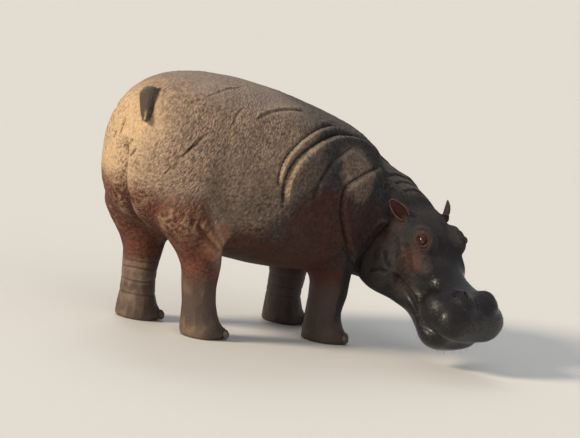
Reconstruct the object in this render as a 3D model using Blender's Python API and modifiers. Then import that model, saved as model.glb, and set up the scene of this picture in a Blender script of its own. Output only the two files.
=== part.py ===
"""An adult hippopotamus, life size, standing with her head lowered and turned to her right.

The body is modelled whole: lofts through measured sections and muscles as ellipsoids, melted
together by a voxel remesh, smoothed and thinned. It is then parted with thin planar cuts into the
pieces a person would name. Eyes, ears, tail and toenails are set into it as solids of their own.
Metres, +Z up, +X towards the front of the body, +Y towards her left.
"""

from collections import namedtuple
from math import cos, pi, radians, sin

import bmesh
import bpy
import numpy as np
from mathutils import Matrix, Vector

# ---------------------------------------------------------------- driving dimensions

CUT = 0.0006  # width of the thin cuts that part the body
SEAT_GAP = 0.0005  # clearance round an eye, ear, nail or tail in its seat

TRUNK_SHARP = 2.3  # how square the trunk's sections are; 2 is an ellipse
TRUNK_WAIST = 0.46  # how high the trunk is widest, from its belly up
RING_POINTS = 40  # points round a section
STEPS = 6  # rings between two measured sections

BEND_START = 0.50  # distance from the rump where the back starts to curve to the right
TRUNK_BEND = radians(18)  # how far the trunk has turned at its front end
NECK_LENGTH = 0.69
NECK_BACK = 0.48  # how far the neck's first section is sunk in the trunk
NECK_PITCH = (radians(6), radians(20))
HEAD_YAW = radians(-90)  # direction of the muzzle, from straight ahead, to her right
HEAD_PITCH = radians(34)  # how far the muzzle points down
HEAD_SCALE = (1.02, 1.10, 1.10)  # length, width and height against the tables below
SKULL_OFFSET = Vector((-0.01, 0.012, 0.132))  # from the neck's last section to the head's origin

TOE_FAN = radians(26)  # angle between neighbouring toes
SOLE_DEPTH = 0.012  # feet are modelled this far below the floor, then cut level

VOXEL = 0.014  # fineness of the remesh that melts the shapes together
SOFTENING = 32  # smoothing passes after it
FINE_SOFTENING = 0.30  # their strength on the head and feet
FINE_THINNING = 0.965  # how readily triangles go there, against 1 on the plain parts
BODY_TRIANGLES = 4700
SHARP_EDGE = radians(50)  # edges sharper than this aren't shaded smooth

Section = namedtuple("Section", "along top bottom half_width")
Level = namedtuple("Level", "height forward half_length half_width")

# Trunk, from the buttocks to the front of the shoulders; heights above the floor.
TRUNK = [
    Section(0.02, 1.08, 0.84, 0.07),
    Section(0.05, 1.20, 0.74, 0.18),
    Section(0.12, 1.31, 0.64, 0.28),
    Section(0.28, 1.40, 0.56, 0.385),
    Section(0.52, 1.435, 0.49, 0.475),
    Section(0.80, 1.42, 0.42, 0.540),
    Section(1.08, 1.37, 0.38, 0.565),
    Section(1.34, 1.305, 0.37, 0.54),
    Section(1.56, 1.235, 0.39, 0.46),
    Section(1.72, 1.16, 0.43, 0.37),
    Section(1.84, 1.05, 0.50, 0.26),
]

# The neck's sections inside the shoulders and inside the skull, about its own line.
NECK_START = Section(0, 0.45, -0.42, 0.46)
NECK_END = Section(0, 0.28, -0.29, 0.27)

# Head, from behind the ears to the lips, in its own frame: along the muzzle, up, and half width.
SKULL = [
    Section(-0.12, 0.05, -0.20, 0.15),
    Section(-0.05, 0.095, -0.24, 0.20),
    Section(0.05, 0.120, -0.26, 0.215),
    Section(0.15, 0.115, -0.26, 0.200),
    Section(0.25, 0.095, -0.22, 0.175),
    Section(0.35, 0.060, -0.19, 0.140),
    Section(0.44, 0.035, -0.17, 0.125),
    Section(0.53, 0.030, -0.18, 0.165),
    Section(0.61, 0.045, -0.185, 0.210),
    Section(0.69, 0.045, -0.180, 0.235),
    Section(0.755, 0.015, -0.160, 0.215),
    Section(0.795, -0.045, -0.13, 0.15),
]
JAW = [
    Section(-0.08, -0.10, -0.28, 0.13),
    Section(0.00, -0.10, -0.36, 0.20),
    Section(0.12, -0.10, -0.385, 0.215),
    Section(0.26, -0.10, -0.335, 0.165),
    Section(0.40, -0.10, -0.295, 0.145),
    Section(0.52, -0.10, -0.290, 0.170),
    Section(0.62, -0.10, -0.300, 0.200),
    Section(0.69, -0.11, -0.285, 0.190),
    Section(0.735, -0.14, -0.235, 0.12),
]

# Legs, from inside the body down to just under the floor.
HIND_LEG = [
    Level(0.98, -0.02, 0.120, 0.08),
    Level(0.86, -0.06, 0.220, 0.15),
    Level(0.66, -0.10, 0.230, 0.165),
    Level(0.53, -0.06, 0.170, 0.140),
    Level(0.41, -0.01, 0.122, 0.115),
    Level(0.29, -0.01, 0.104, 0.100),
    Level(0.18, 0.000, 0.102, 0.098),
    Level(0.10, 0.012, 0.114, 0.110),
    Level(0.04, 0.020, 0.122, 0.120),
    Level(-SOLE_DEPTH, 0.020, 0.120, 0.118),
]
FORE_LEG = [
    Level(0.92, 0.02, 0.100, 0.080),
    Level(0.80, 0.00, 0.190, 0.135),
    Level(0.64, -0.02, 0.185, 0.145),
    Level(0.50, -0.02, 0.150, 0.130),
    Level(0.37, 0.00, 0.122, 0.114),
    Level(0.27, 0.010, 0.112, 0.106),
    Level(0.17, 0.000, 0.104, 0.102),
    Level(0.10, 0.012, 0.114, 0.114),
    Level(0.04, 0.020, 0.122, 0.122),
    Level(-SOLE_DEPTH, 0.020, 0.120, 0.120),
]
Leg = namedtuple("Leg", "name levels hip foot heading top")
LEGS = [
    Leg("hind_left", HIND_LEG, (0.50, 0.21), (0.50, 0.20), 2, 0.43),
    Leg("hind_right", HIND_LEG, (0.42, -0.25), (0.54, -0.27), -6, 0.43),
    Leg("fore_left", FORE_LEG, (1.55, 0.06), (1.59, 0.09), -8, 0.355),
    Leg("fore_right", FORE_LEG, (1.45, -0.37), (1.42, -0.38), -20, 0.355),
]
FOOT_TOP = 0.135  # height of the cut above each foot
TOES = 4
TOE_RADII = (0.075, 0.043, 0.052)
TOE_REACH = 0.094  # from the foot's middle to a toe's
TOE_HEIGHT = 0.038
NAIL_RADII = (0.024, 0.031, 0.030)
NAIL_SUNK = 0.016  # how far a nail's middle lies inside the toe's tip
NAIL_HEIGHT = 0.036
NAIL_LEAN = radians(-20)

# Boxes that part the body: low and high corners in the frame of what is parted off.
FOOT_BOX = ((-0.20, -0.20, -0.10), (0.25, 0.20, FOOT_TOP))
LEG_BOX = ((-0.24, -0.17, FOOT_TOP + CUT), (0.17, 0.17))  # up to the leg's own top
HEAD_BOX = ((-0.03, -0.32, -0.60), (1.0, 0.32, 0.35))  # from behind the ears
JAW_BOX = ((0.20, -0.40, -0.60), (1.0, 0.40, -0.165))  # from the mouth's corner, under the lip
NECK_BOX = ((0.0, -0.62, -0.40), (0.9, 0.62, 0.70))
NECK_CUT = 6  # the neck's section where it is parted from the trunk

# Places on the head, in its own frame; the second number is the distance from the middle.
EYE_SPOT = Vector((0.235, 0.158, 0.088))
EYE_RADIUS = 0.024
EAR_ROOT = Vector((0.025, 0.165, 0.085))
EAR_LENGTH = 0.165  # with the sunk end of its root
EAR_SUNK = 0.22
EAR_WIDTH = 0.046  # half width at the widest
EAR_THICK = 0.012
EAR_DEPTH = 0.8  # how deep its hollow is, against a round one
EAR_GRID = (7, 9)  # points along and across it
EAR_AXIS = Vector((-0.70, 0.65, 0.30))  # root to tip
EAR_OPENING = Vector((0.68, 0.55, 0.39))  # where its hollow looks
HEAD_REACH = 0.27  # half width of the region that keeps the head's detail
HEAD_START = 0.05  # it starts here along the head
HEAD_FADE = 0.15

TAIL_ROOT = Vector((0.15, 0.01, 1.31))
TAIL_TIP = Vector((0.0, -0.12, 1.17))
# Share of the tail's length, half height and half width.
TAIL_SECTIONS = [
    (0.0, 0.058, 0.060),
    (0.4, 0.054, 0.042),
    (0.75, 0.040, 0.024),
    (1.0, 0.018, 0.012),
]
TAIL_SHARP = 2.2
NECK_SHARP = 2.2

# Colour and roughness by the first word of a piece's name; flesh not named here is as the trunk.
FINISH = {
    "trunk": ((0.26, 0.20, 0.16), 0.75),
    "neck": ((0.14, 0.11, 0.10), 0.70),
    "head": ((0.09, 0.08, 0.08), 0.60),
    "lower": ((0.10, 0.07, 0.06), 0.60),
    "ear": ((0.24, 0.11, 0.09), 0.60),
    "eye": ((0.02, 0.012, 0.008), 0.08),
    "tail": ((0.07, 0.065, 0.065), 0.70),
    "toenail": ((0.06, 0.05, 0.045), 0.45),
}


# ---------------------------------------------------------------- small tools

def clear_scene():
    for thing in list(bpy.data.objects):
        bpy.data.objects.remove(thing, do_unlink=True)


def turned(yaw=0.0, pitch=0.0):
    """Rotation whose +X points along yaw and down by pitch."""
    return Matrix.Rotation(yaw, 4, "Z") @ Matrix.Rotation(pitch, 4, "Y")


def smooth_rows(rows, steps):
    """Rows of numbers with smooth in-between rows (Catmull-Rom)."""
    table = np.array(rows, float)
    padded = np.vstack([table[0], table, table[-1]])
    out = []
    for i in range(len(table) - 1):
        a, b, c, d = padded[i : i + 4]
        for t in np.arange(steps) / steps:
            out.append(
                0.5
                * (
                    2 * b
                    + (c - a) * t
                    + (2 * a - 5 * b + 4 * c - d) * t**2
                    + (3 * b - a - 3 * c + d) * t**3
                )
            )
    out.append(table[-1])
    return out


def oval(half_width, up, down, sharp):
    """Section points (across, upward) of a rounded outline with its own height above and below."""
    points = []
    for angle in np.arange(RING_POINTS) * 2 * pi / RING_POINTS:
        across = np.sign(cos(angle)) * abs(cos(angle)) ** (2 / sharp)
        rise = np.sign(sin(angle)) * abs(sin(angle)) ** (2 / sharp)
        points.append((half_width * across, (up if rise > 0 else down) * rise))
    return points


def skin_rings(mesh, rings):
    """Adds one closed tube through rings of points to a bmesh."""
    loops = [[mesh.verts.new(p) for p in ring] for ring in rings]
    for first, second in zip(loops, loops[1:]):
        for i in range(len(first)):
            j = (i + 1) % len(first)
            mesh.faces.new((first[i], first[j], second[j], second[i]))
    mesh.faces.new(loops[0][::-1])
    mesh.faces.new(loops[-1])


def section_ring(place, section, sharp, waist=0.5):
    """Ring of a Section standing across place's X; waist says how high its widest point is."""
    middle = section.bottom + waist * (section.top - section.bottom)
    shape = oval(section.half_width, section.top - middle, middle - section.bottom, sharp)
    return [place @ Vector((section.along, y, middle + z)) for y, z in shape]


def add_ellipsoid(mesh, centre, radii, turn=Matrix.Identity(4)):
    scale = Matrix.Diagonal((*radii, 1.0))
    bmesh.ops.create_icosphere(
        mesh, subdivisions=4, radius=1.0, matrix=Matrix.Translation(centre) @ turn @ scale
    )


def to_object(name, mesh, collection):
    bmesh.ops.recalc_face_normals(mesh, faces=mesh.faces)
    data = bpy.data.meshes.new(name)
    mesh.to_mesh(data)
    mesh.free()
    thing = bpy.data.objects.new(name, data)
    collection.objects.link(thing)
    return thing


def bake_modifiers(thing):
    """Replaces an object's mesh by its evaluated one."""
    bpy.context.view_layer.update()
    graph = bpy.context.evaluated_depsgraph_get()
    data = bpy.data.meshes.new_from_object(thing.evaluated_get(graph), depsgraph=graph)
    thing.modifiers.clear()
    thing.data = data


# ---------------------------------------------------------------- the spine

def trunk_place(along):
    """Frame of the trunk's section at this distance from the rump, on the floor."""
    turn = max(0.0, along - BEND_START)
    rate = TRUNK_BEND / (TRUNK[-1].along - BEND_START)
    yaw = -rate * turn
    if turn == 0:
        return Matrix.Translation((along, 0, 0))
    radius = 1 / rate
    x = BEND_START + radius * sin(-yaw)
    y = -radius * (1 - cos(yaw))
    return Matrix.Translation((x, y, 0)) @ turned(yaw)


def neck_places(count):
    """Frames along the neck, from inside the shoulders to the skull."""
    last = TRUNK[-1]
    place = trunk_place(last.along) @ Matrix.Translation((0, 0, (last.top + last.bottom) / 2))
    spot = place @ Vector((-NECK_BACK, 0, 0))
    frames = []
    step = NECK_LENGTH / count
    for i in range(count + 1):
        share = i / count
        yaw = -TRUNK_BEND + (HEAD_YAW + TRUNK_BEND) * share
        pitch = NECK_PITCH[0] + (NECK_PITCH[1] - NECK_PITCH[0]) * share
        turn = turned(yaw, pitch)
        frames.append(Matrix.Translation(spot) @ turn)
        spot = spot + turn @ Vector((step, 0, 0))
    return frames


NECK = neck_places(10)
HEAD = (
    Matrix.Translation(NECK[-1].translation)
    @ turned(HEAD_YAW, HEAD_PITCH)
    @ Matrix.Translation(SKULL_OFFSET)
    @ Matrix.Diagonal((*HEAD_SCALE, 1))
)


HEAD_TURN = turned(HEAD_YAW, HEAD_PITCH)


# ---------------------------------------------------------------- flesh

def add_trunk(mesh):
    rings = []
    for row in smooth_rows(TRUNK, STEPS):
        section = Section(*row)
        place = trunk_place(section.along)
        rings.append(section_ring(place, section._replace(along=0), TRUNK_SHARP, TRUNK_WAIST))
    skin_rings(mesh, rings)


def add_neck(mesh):
    rings = []
    for i, place in enumerate(NECK):
        share = i / (len(NECK) - 1)
        mixed = Section(*(np.array(NECK_START) * (1 - share) + np.array(NECK_END) * share))
        rings.append(section_ring(place, mixed, NECK_SHARP))
    skin_rings(mesh, rings)


def add_head(mesh):
    for rows, sharp in ((SKULL, 2.5), (JAW, 2.4)):
        rings = [
            section_ring(HEAD, Section(*row), sharp, 0.5) for row in smooth_rows(rows, STEPS)
        ]
        skin_rings(mesh, rings)
    for side in (-1, 1):
        for centre, radii in (
            ((0.215, 0.115, 0.070), (0.095, 0.062, 0.068)),  # brow over the eye
            ((0.650, 0.085, 0.030), (0.085, 0.065, 0.050)),  # nostril mound
            ((0.600, 0.155, -0.095), (0.135, 0.072, 0.100)),  # upper lip over the tusk
            ((0.090, 0.150, -0.17), (0.190, 0.100, 0.180)),  # cheek muscle
            ((0.270, 0.110, -0.02), (0.150, 0.065, 0.070)),  # cheek bone
        ):
            spot = Vector((centre[0], side * centre[1], centre[2]))
            add_ellipsoid(mesh, HEAD @ spot, [r * s for r, s in zip(radii, HEAD_SCALE)], HEAD_TURN)


def leg_ring(leg, row, hip, foot):
    level = Level(*row)
    share = 1 - max(level.height, 0) / leg.levels[0].height
    turn = turned(radians(leg.heading))
    centre = hip.lerp(foot, share) + turn @ Vector((level.forward, 0, level.height))
    angles = np.arange(RING_POINTS) * 2 * pi / RING_POINTS
    return [
        centre + turn @ Vector((level.half_length * cos(a), level.half_width * sin(a), 0))
        for a in angles
    ]


def toe_frames(leg):
    """One frame per toe, on the floor under the foot's middle, looking along the toe."""
    for i in range(TOES):
        fan = (i - (TOES - 1) / 2) * TOE_FAN
        yield Matrix.Translation((*leg.foot, 0)) @ turned(radians(leg.heading) + fan)


def add_leg(mesh, leg):
    hip, foot = Vector((*leg.hip, 0)), Vector((*leg.foot, 0))
    skin_rings(mesh, [leg_ring(leg, row, hip, foot) for row in smooth_rows(leg.levels, STEPS)])
    for frame in toe_frames(leg):
        spot = frame @ Vector((TOE_REACH, 0, TOE_HEIGHT))
        add_ellipsoid(mesh, spot, TOE_RADII, frame.to_3x3().to_4x4())


def add_muscles(mesh):
    """Haunches, shoulders, brisket and throat, which the sections alone leave flat."""
    for centre, radii, tilt in (
        ((0.37, 0.20, 0.90), (0.25, 0.20, 0.35), -12),  # left haunch
        ((0.38, -0.22, 0.90), (0.27, 0.20, 0.35), -12),  # right haunch
        ((1.48, 0.12, 0.80), (0.24, 0.19, 0.38), -8),  # left shoulder
        ((1.40, -0.38, 0.80), (0.24, 0.19, 0.38), -8),  # right shoulder
        ((1.62, -0.20, 0.62), (0.26, 0.28, 0.22), 0),  # brisket
    ):
        add_ellipsoid(mesh, Vector(centre), radii, turned(0, radians(tilt)))


def plainness(point):
    """1 on the plain parts of the body, less on the feet, and 0 on the head."""
    spot = HEAD.inverted() @ point
    head = 1.0
    if abs(spot.y) < HEAD_REACH:
        head = min(max((HEAD_START - spot.x) / HEAD_FADE, 0.0), 1.0)
    foot = min(max((point.z - 0.12) / 0.15, 0.7), 1.0)
    return min(head, foot)


def weigh(thing, name, fine):
    """Vertex group that is 1 on the plain parts and fine on the head and feet."""
    group = thing.vertex_groups.new(name=name)
    for vertex in thing.data.vertices:
        group.add([vertex.index], fine + (1 - fine) * plainness(vertex.co), "REPLACE")
    return group.name


def triangles(thing):
    return sum(len(face.vertices) - 2 for face in thing.data.polygons)


def make_body(collection):
    mesh = bmesh.new()
    add_trunk(mesh)
    add_neck(mesh)
    add_head(mesh)
    add_muscles(mesh)
    for leg in LEGS:
        add_leg(mesh, leg)
    body = to_object("body", mesh, collection)
    melt = body.modifiers.new("melt", "REMESH")
    melt.mode = "VOXEL"
    melt.voxel_size = VOXEL
    bake_modifiers(body)
    soften = body.modifiers.new("soften", "SMOOTH")
    soften.iterations = SOFTENING
    soften.vertex_group = weigh(body, "softened", FINE_SOFTENING)
    thin = body.modifiers.new("thin", "DECIMATE")
    thin.ratio = BODY_TRIANGLES / triangles(body)
    thin.vertex_group = weigh(body, "thinned", FINE_THINNING)
    bake_modifiers(body)
    body.vertex_groups.clear()
    return body


# ---------------------------------------------------------------- cutting

def add_boolean(thing, other, operation):
    """Cuts thing by other, or keeps what both fill, at once."""
    cut = thing.modifiers.new("cut", "BOOLEAN")
    cut.object = other
    cut.operation = operation
    cut.solver = "EXACT"
    bake_modifiers(thing)


def box(place, low, high, collection):
    mesh = bmesh.new()
    low, high = Vector(low), Vector(high)
    middle, size = (low + high) / 2, high - low
    fit = place @ Matrix.Translation(middle) @ Matrix.Diagonal((*size, 1))
    bmesh.ops.create_cube(mesh, size=1, matrix=fit)
    return to_object("cutter", mesh, collection)


def copy_of(thing, name, collection):
    twin = thing.copy()
    twin.data = thing.data.copy()
    twin.name = name
    collection.objects.link(twin)
    return twin


def part_off(body, name, place, corners, collection):
    """Takes what lies in a box off the body as a new object, leaving a thin cut between them."""
    low, high = corners
    piece = copy_of(body, name, collection)
    region = box(place, low, high, collection)
    add_boolean(piece, region, "INTERSECT")
    bpy.data.objects.remove(region)
    margin = Vector((CUT, CUT, CUT))
    region = box(place, Vector(low) - margin, Vector(high) + margin, collection)
    add_boolean(body, region, "DIFFERENCE")
    bpy.data.objects.remove(region)
    return piece


def seat(thing, other):
    """Trims a solid where another one fills its place, leaving a small gap."""
    swollen = copy_of(other, "swollen", thing.users_collection[0])
    swell = swollen.modifiers.new("swell", "DISPLACE")
    swell.strength = SEAT_GAP
    swell.mid_level = 0
    bake_modifiers(swollen)
    add_boolean(thing, swollen, "DIFFERENCE")
    bpy.data.objects.remove(swollen)


# ---------------------------------------------------------------- the parts set into the flesh

def mirrored(spot, side):
    return Vector((spot.x, side * spot.y, spot.z))


def make_eye(side, head, collection):
    spot = HEAD @ mirrored(EYE_SPOT, side)
    mesh = bmesh.new()
    bmesh.ops.create_uvsphere(
        mesh, u_segments=12, v_segments=6, radius=EYE_RADIUS, matrix=Matrix.Translation(spot)
    )
    ball = to_object("eye_left" if side > 0 else "eye_right", mesh, collection)
    seat(head, ball)


def make_ear(side, head, collection):
    """A cupped leaf: nearly a tube at its root, opening outwards and forwards."""
    name = "ear_left" if side > 0 else "ear_right"
    axis = (HEAD_TURN @ mirrored(EAR_AXIS, side)).normalized()
    across = (HEAD_TURN @ mirrored(EAR_OPENING, side)).cross(axis).normalized()
    turn = Matrix((across, axis.cross(across), axis)).transposed().to_4x4()
    root = Matrix.Translation(HEAD @ mirrored(EAR_ROOT, side)) @ turn
    mesh = bmesh.new()
    rows, columns = EAR_GRID
    grid = []
    for i in range(rows):
        along = i / (rows - 1)
        width = EAR_WIDTH * (sin(pi * (0.22 + 0.74 * along)) ** 0.6)
        curl = radians(125 - 70 * along)
        line = []
        for j in range(columns):
            angle = curl * (2 * j / (columns - 1) - 1)
            sideways = width * sin(angle) / max(sin(min(curl, pi / 2)), 0.5)
            depth = width * (1 - cos(angle)) * EAR_DEPTH
            height = EAR_LENGTH * (along - EAR_SUNK)
            line.append(mesh.verts.new(root @ Vector((sideways, depth, height))))
        grid.append(line)
    for low, high in zip(grid, grid[1:]):
        for j in range(columns - 1):
            mesh.faces.new((low[j], low[j + 1], high[j + 1], high[j]))
    ear = to_object(name, mesh, collection)
    shell = ear.modifiers.new("thickness", "SOLIDIFY")
    shell.thickness = EAR_THICK
    shell.offset = 0
    bake_modifiers(ear)
    seat(ear, head)


def make_tail(trunk, collection):
    mesh = bmesh.new()
    line = TAIL_TIP - TAIL_ROOT
    turn = line.to_track_quat("X", "Z").to_matrix().to_4x4()
    place = Matrix.Translation(TAIL_ROOT) @ turn
    rings = []
    for along, high, wide in smooth_rows(TAIL_SECTIONS, 2):
        section = Section(along * line.length, high, -high, wide)
        rings.append(section_ring(place, section, TAIL_SHARP)[::4])
    skin_rings(mesh, rings)
    tail = to_object("tail", mesh, collection)
    seat(tail, trunk)


def make_nails(leg, foot, collection):
    for i, frame in enumerate(toe_frames(leg)):
        mesh = bmesh.new()
        spot = Vector((TOE_REACH + TOE_RADII[0] - NAIL_SUNK, 0, NAIL_HEIGHT))
        place = frame @ Matrix.Translation(spot) @ turned(0, NAIL_LEAN)
        bmesh.ops.create_uvsphere(
            mesh,
            u_segments=7,
            v_segments=4,
            radius=1,
            matrix=place @ Matrix.Diagonal((*NAIL_RADII, 1)),
        )
        nail = to_object(f"toenail_{leg.name}_{i + 1}", mesh, collection)
        seat(foot, nail)


def finish(thing, colour, roughness):
    """Gives a piece its own material and smooth shading, but for the cut edges."""
    thing.data.shade_smooth()
    thing.data.set_sharp_from_angle(angle=SHARP_EDGE)
    material = bpy.data.materials.new(thing.name)
    material.use_nodes = True
    shader = material.node_tree.nodes["Principled BSDF"]
    shader.inputs["Base Color"].default_value = (*colour, 1)
    shader.inputs["Roughness"].default_value = roughness
    shader.inputs["Metallic"].default_value = 0
    thing.data.materials.clear()
    thing.data.materials.append(material)


def finish_all(collection):
    for thing in collection.objects:
        kind = thing.name.split("_")[0]
        colour, roughness = FINISH.get(kind, FINISH["trunk"])
        finish(thing, colour, roughness)


def make_parts(body, collection):
    for leg in LEGS:
        place = Matrix.Translation((*leg.foot, 0)) @ turned(radians(leg.heading))
        foot = part_off(body, leg.name.replace("_", "_foot_"), place, FOOT_BOX, collection)
        low, high = LEG_BOX
        part_off(body, leg.name.replace("_", "_leg_"), place, (low, (*high, leg.top)), collection)
        make_nails(leg, foot, collection)
    head = part_off(body, "head", HEAD, HEAD_BOX, collection)
    part_off(head, "lower_jaw", HEAD, JAW_BOX, collection)
    part_off(body, "neck", NECK[NECK_CUT], NECK_BOX, collection)
    body.name = "trunk"
    for side in (-1, 1):
        make_eye(side, head, collection)
        make_ear(side, head, collection)
    make_tail(body, collection)


def cut_soles(body):
    """Cuts the feet level at the floor."""
    mesh = bmesh.new()
    mesh.from_mesh(body.data)
    everything = mesh.verts[:] + mesh.edges[:] + mesh.faces[:]
    bmesh.ops.bisect_plane(
        mesh, geom=everything, plane_co=(0, 0, 0), plane_no=(0, 0, -1), clear_outer=True
    )
    rims = [edge for edge in mesh.edges if edge.is_boundary]
    bmesh.ops.triangle_fill(mesh, edges=rims, use_beauty=True)
    bmesh.ops.recalc_face_normals(mesh, faces=mesh.faces)
    mesh.to_mesh(body.data)
    mesh.free()


def centre(collection):
    """Moves the pieces so that the middle of their box stands on the origin."""
    corners = np.array([v.co for thing in collection.objects for v in thing.data.vertices])
    middle = (corners.min(axis=0) + corners.max(axis=0)) / 2
    for thing in collection.objects:
        thing.data.transform(Matrix.Translation((-middle[0], -middle[1], 0)))


def main():
    clear_scene()
    model = bpy.data.collections.new("hippopotamus")
    bpy.context.scene.collection.children.link(model)
    body = make_body(model)
    cut_soles(body)
    make_parts(body, model)
    finish_all(model)
    centre(model)


main()
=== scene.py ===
"""A life-size hippopotamus: hide, eyes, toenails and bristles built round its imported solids.

The hide is one skin. It starts from copies of the flesh solids, melted together and smoothed,
and is then sculpted: folds and creases are pressed in along named lines, lids and nostrils are
shaped in the head's own frame, and a pebbly relief covers the trunk. Metres, +Z up.
"""

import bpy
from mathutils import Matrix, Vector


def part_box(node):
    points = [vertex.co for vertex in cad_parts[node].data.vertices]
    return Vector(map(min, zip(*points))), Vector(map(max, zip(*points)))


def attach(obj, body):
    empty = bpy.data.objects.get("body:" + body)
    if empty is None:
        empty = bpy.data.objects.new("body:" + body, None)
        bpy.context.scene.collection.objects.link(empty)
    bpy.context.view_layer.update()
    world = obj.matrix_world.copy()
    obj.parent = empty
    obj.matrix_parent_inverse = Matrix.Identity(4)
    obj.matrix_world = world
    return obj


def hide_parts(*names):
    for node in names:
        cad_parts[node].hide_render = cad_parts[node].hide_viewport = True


bl_info = {
    "name": "Standing Hippopotamus",
    "version": (1, 0, 0),
    "blender": (4, 5, 0),
    "location": "View3D > Sidebar > Hippopotamus",
    "description": "Builds the hide, eyes, toenails and bristles of a standing hippopotamus",
    "category": "Object",
}

from math import cos, pi, radians, sin, tau

import bmesh
import bpy
import numpy as np
from mathutils import Matrix, Vector, noise
from mathutils.bvhtree import BVHTree

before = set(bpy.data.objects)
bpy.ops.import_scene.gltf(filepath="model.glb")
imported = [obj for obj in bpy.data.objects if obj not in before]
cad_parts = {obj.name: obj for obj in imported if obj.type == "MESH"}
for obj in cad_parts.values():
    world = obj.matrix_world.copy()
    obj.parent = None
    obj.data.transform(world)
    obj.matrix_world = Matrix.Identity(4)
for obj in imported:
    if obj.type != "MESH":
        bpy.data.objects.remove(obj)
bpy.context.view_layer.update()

# ---------------------------------------------------------------- places taken from the frame

UP = Vector((0, 0, 1))
LEGS = ("hind_left", "hind_right", "fore_left", "fore_right")
TOES = 4
SIDES = {"left": 1, "right": -1}
HEAD_PITCH = radians(34)  # how far the muzzle points down


def leg_nodes(kind):
    return [leg.replace("_", f"_{kind}_") for leg in LEGS]


FLESH = ["trunk", "neck", "head", "lower_jaw", "tail", "ear_left", "ear_right"]
FLESH += leg_nodes("leg") + leg_nodes("foot")


def middle(node):
    low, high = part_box(node)
    return (low + high) / 2


EYE = {side: middle(f"eye_{side}") for side in SIDES}
EYE_RADIUS = (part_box("eye_left")[1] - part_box("eye_left")[0]).x / 2
BROW = (EYE["left"] + EYE["right"]) / 2  # origin of the head's own frame, between the eyes
LEFTWARD = (EYE["left"] - EYE["right"]).normalized()
LEVEL = LEFTWARD.cross(UP)
ALONG = LEVEL * cos(HEAD_PITCH) - UP * sin(HEAD_PITCH)
HEAD = Matrix((ALONG, LEFTWARD, ALONG.cross(LEFTWARD))).transposed()


def to_head(points):
    """Points in the head's frame: along the muzzle, to her left, and upward."""
    return (points - np.array(BROW)) @ np.array(HEAD)


def from_head(along, left, up):
    return BROW + HEAD @ Vector((along, left, up))


def head_place(place, sign):
    """A place given for her left side, mirrored where the sign is -1."""
    along, left, up = place
    return from_head(along, sign * left, up)


def head_way(way, sign):
    """A direction given for her left side, mirrored where the sign is -1."""
    along, left, up = way
    return HEAD @ Vector((along, sign * left, up))


# ---------------------------------------------------------------- the skin's sizes

SMOOTHING = 80  # passes that melt the solids' facets
SKIN_TRIANGLES = 198000  # what the skin is thinned to
WEIGHT_STEPS = 24  # in a vertex group
HEAD_SMOOTHING = 0.20  # share of the smoothing that reaches the head, its muzzle and the ears
MUZZLE_SMOOTHING = 0.62
EAR_SMOOTHING = 0.05
FOOT_SMOOTHING = 0.07
FOOT_TOP = (0.07, 0.24)  # heights where the feet's smoothing gives way to the body's
NOSE_EDGE = (0.36, 0.30)  # along the head, where the nose keeps more of its shape
EAR_REACH = 0.02  # how near its solid a point belongs to an ear
DETAIL_REACH = 0.075  # radius of the finer faces round eyes and nostrils
LID_DETAIL_REACH = 0.042  # radius of the finest faces, round the eyes
EASED_REACH = 0.06  # radius round eyes and nostrils in which the sculpted skin is eased
EASED_PASSES = 3
UNTHINNED_REACH = 0.08  # radius round them in which no faces are taken away
STREAK_TILT = radians(35)  # the pebbled streaks lean forward from upright
# Low relief: sizes of the grains, then their heights.
LUMPS = (0.12, 0.12, 0.20)
STREAKS = (0.022, 0.022, 0.044)
WRINKLED_PATCHES = (0.25, 0.25, 0.25)
MUZZLE_GRAIN = (0.013, 0.013, 0.013)
LUMP_HEIGHT = 0.0030
LUMP_LOSS_ON_HEAD = 0.0018
STREAK_HEIGHT = 0.0012
WRINKLED_STREAK_HEIGHT = 0.0032
MUZZLE_GRAIN_HEIGHT = 0.0009

# Borders of the regions, in the head's frame and in height.
HEAD_START = (-0.42, -0.22)
HEAD_HALF_WIDTH = 0.36
HEAD_FLOOR = (-0.75, -0.60)
MUZZLE_START = (0.10, 0.20)
FLANK_FLOOR = (0.45, 0.62)

# ---------------------------------------------------------------- creases

SNAP_REACH = 0.12  # how far from a crease's controls the skin is looked for
SNAP_EASING = 3
CREASE_ENDS = 0.12  # share of its length over which a crease fades in and out
LEFT_BANK = 0.8  # breadth of a crease's banks, in widths
RIGHT_BANK = 1.5
ROLL_AWAY = 1.5  # how far off the swelling beside it is, in widths
ROLL_SPREAD = 3.0
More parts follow.
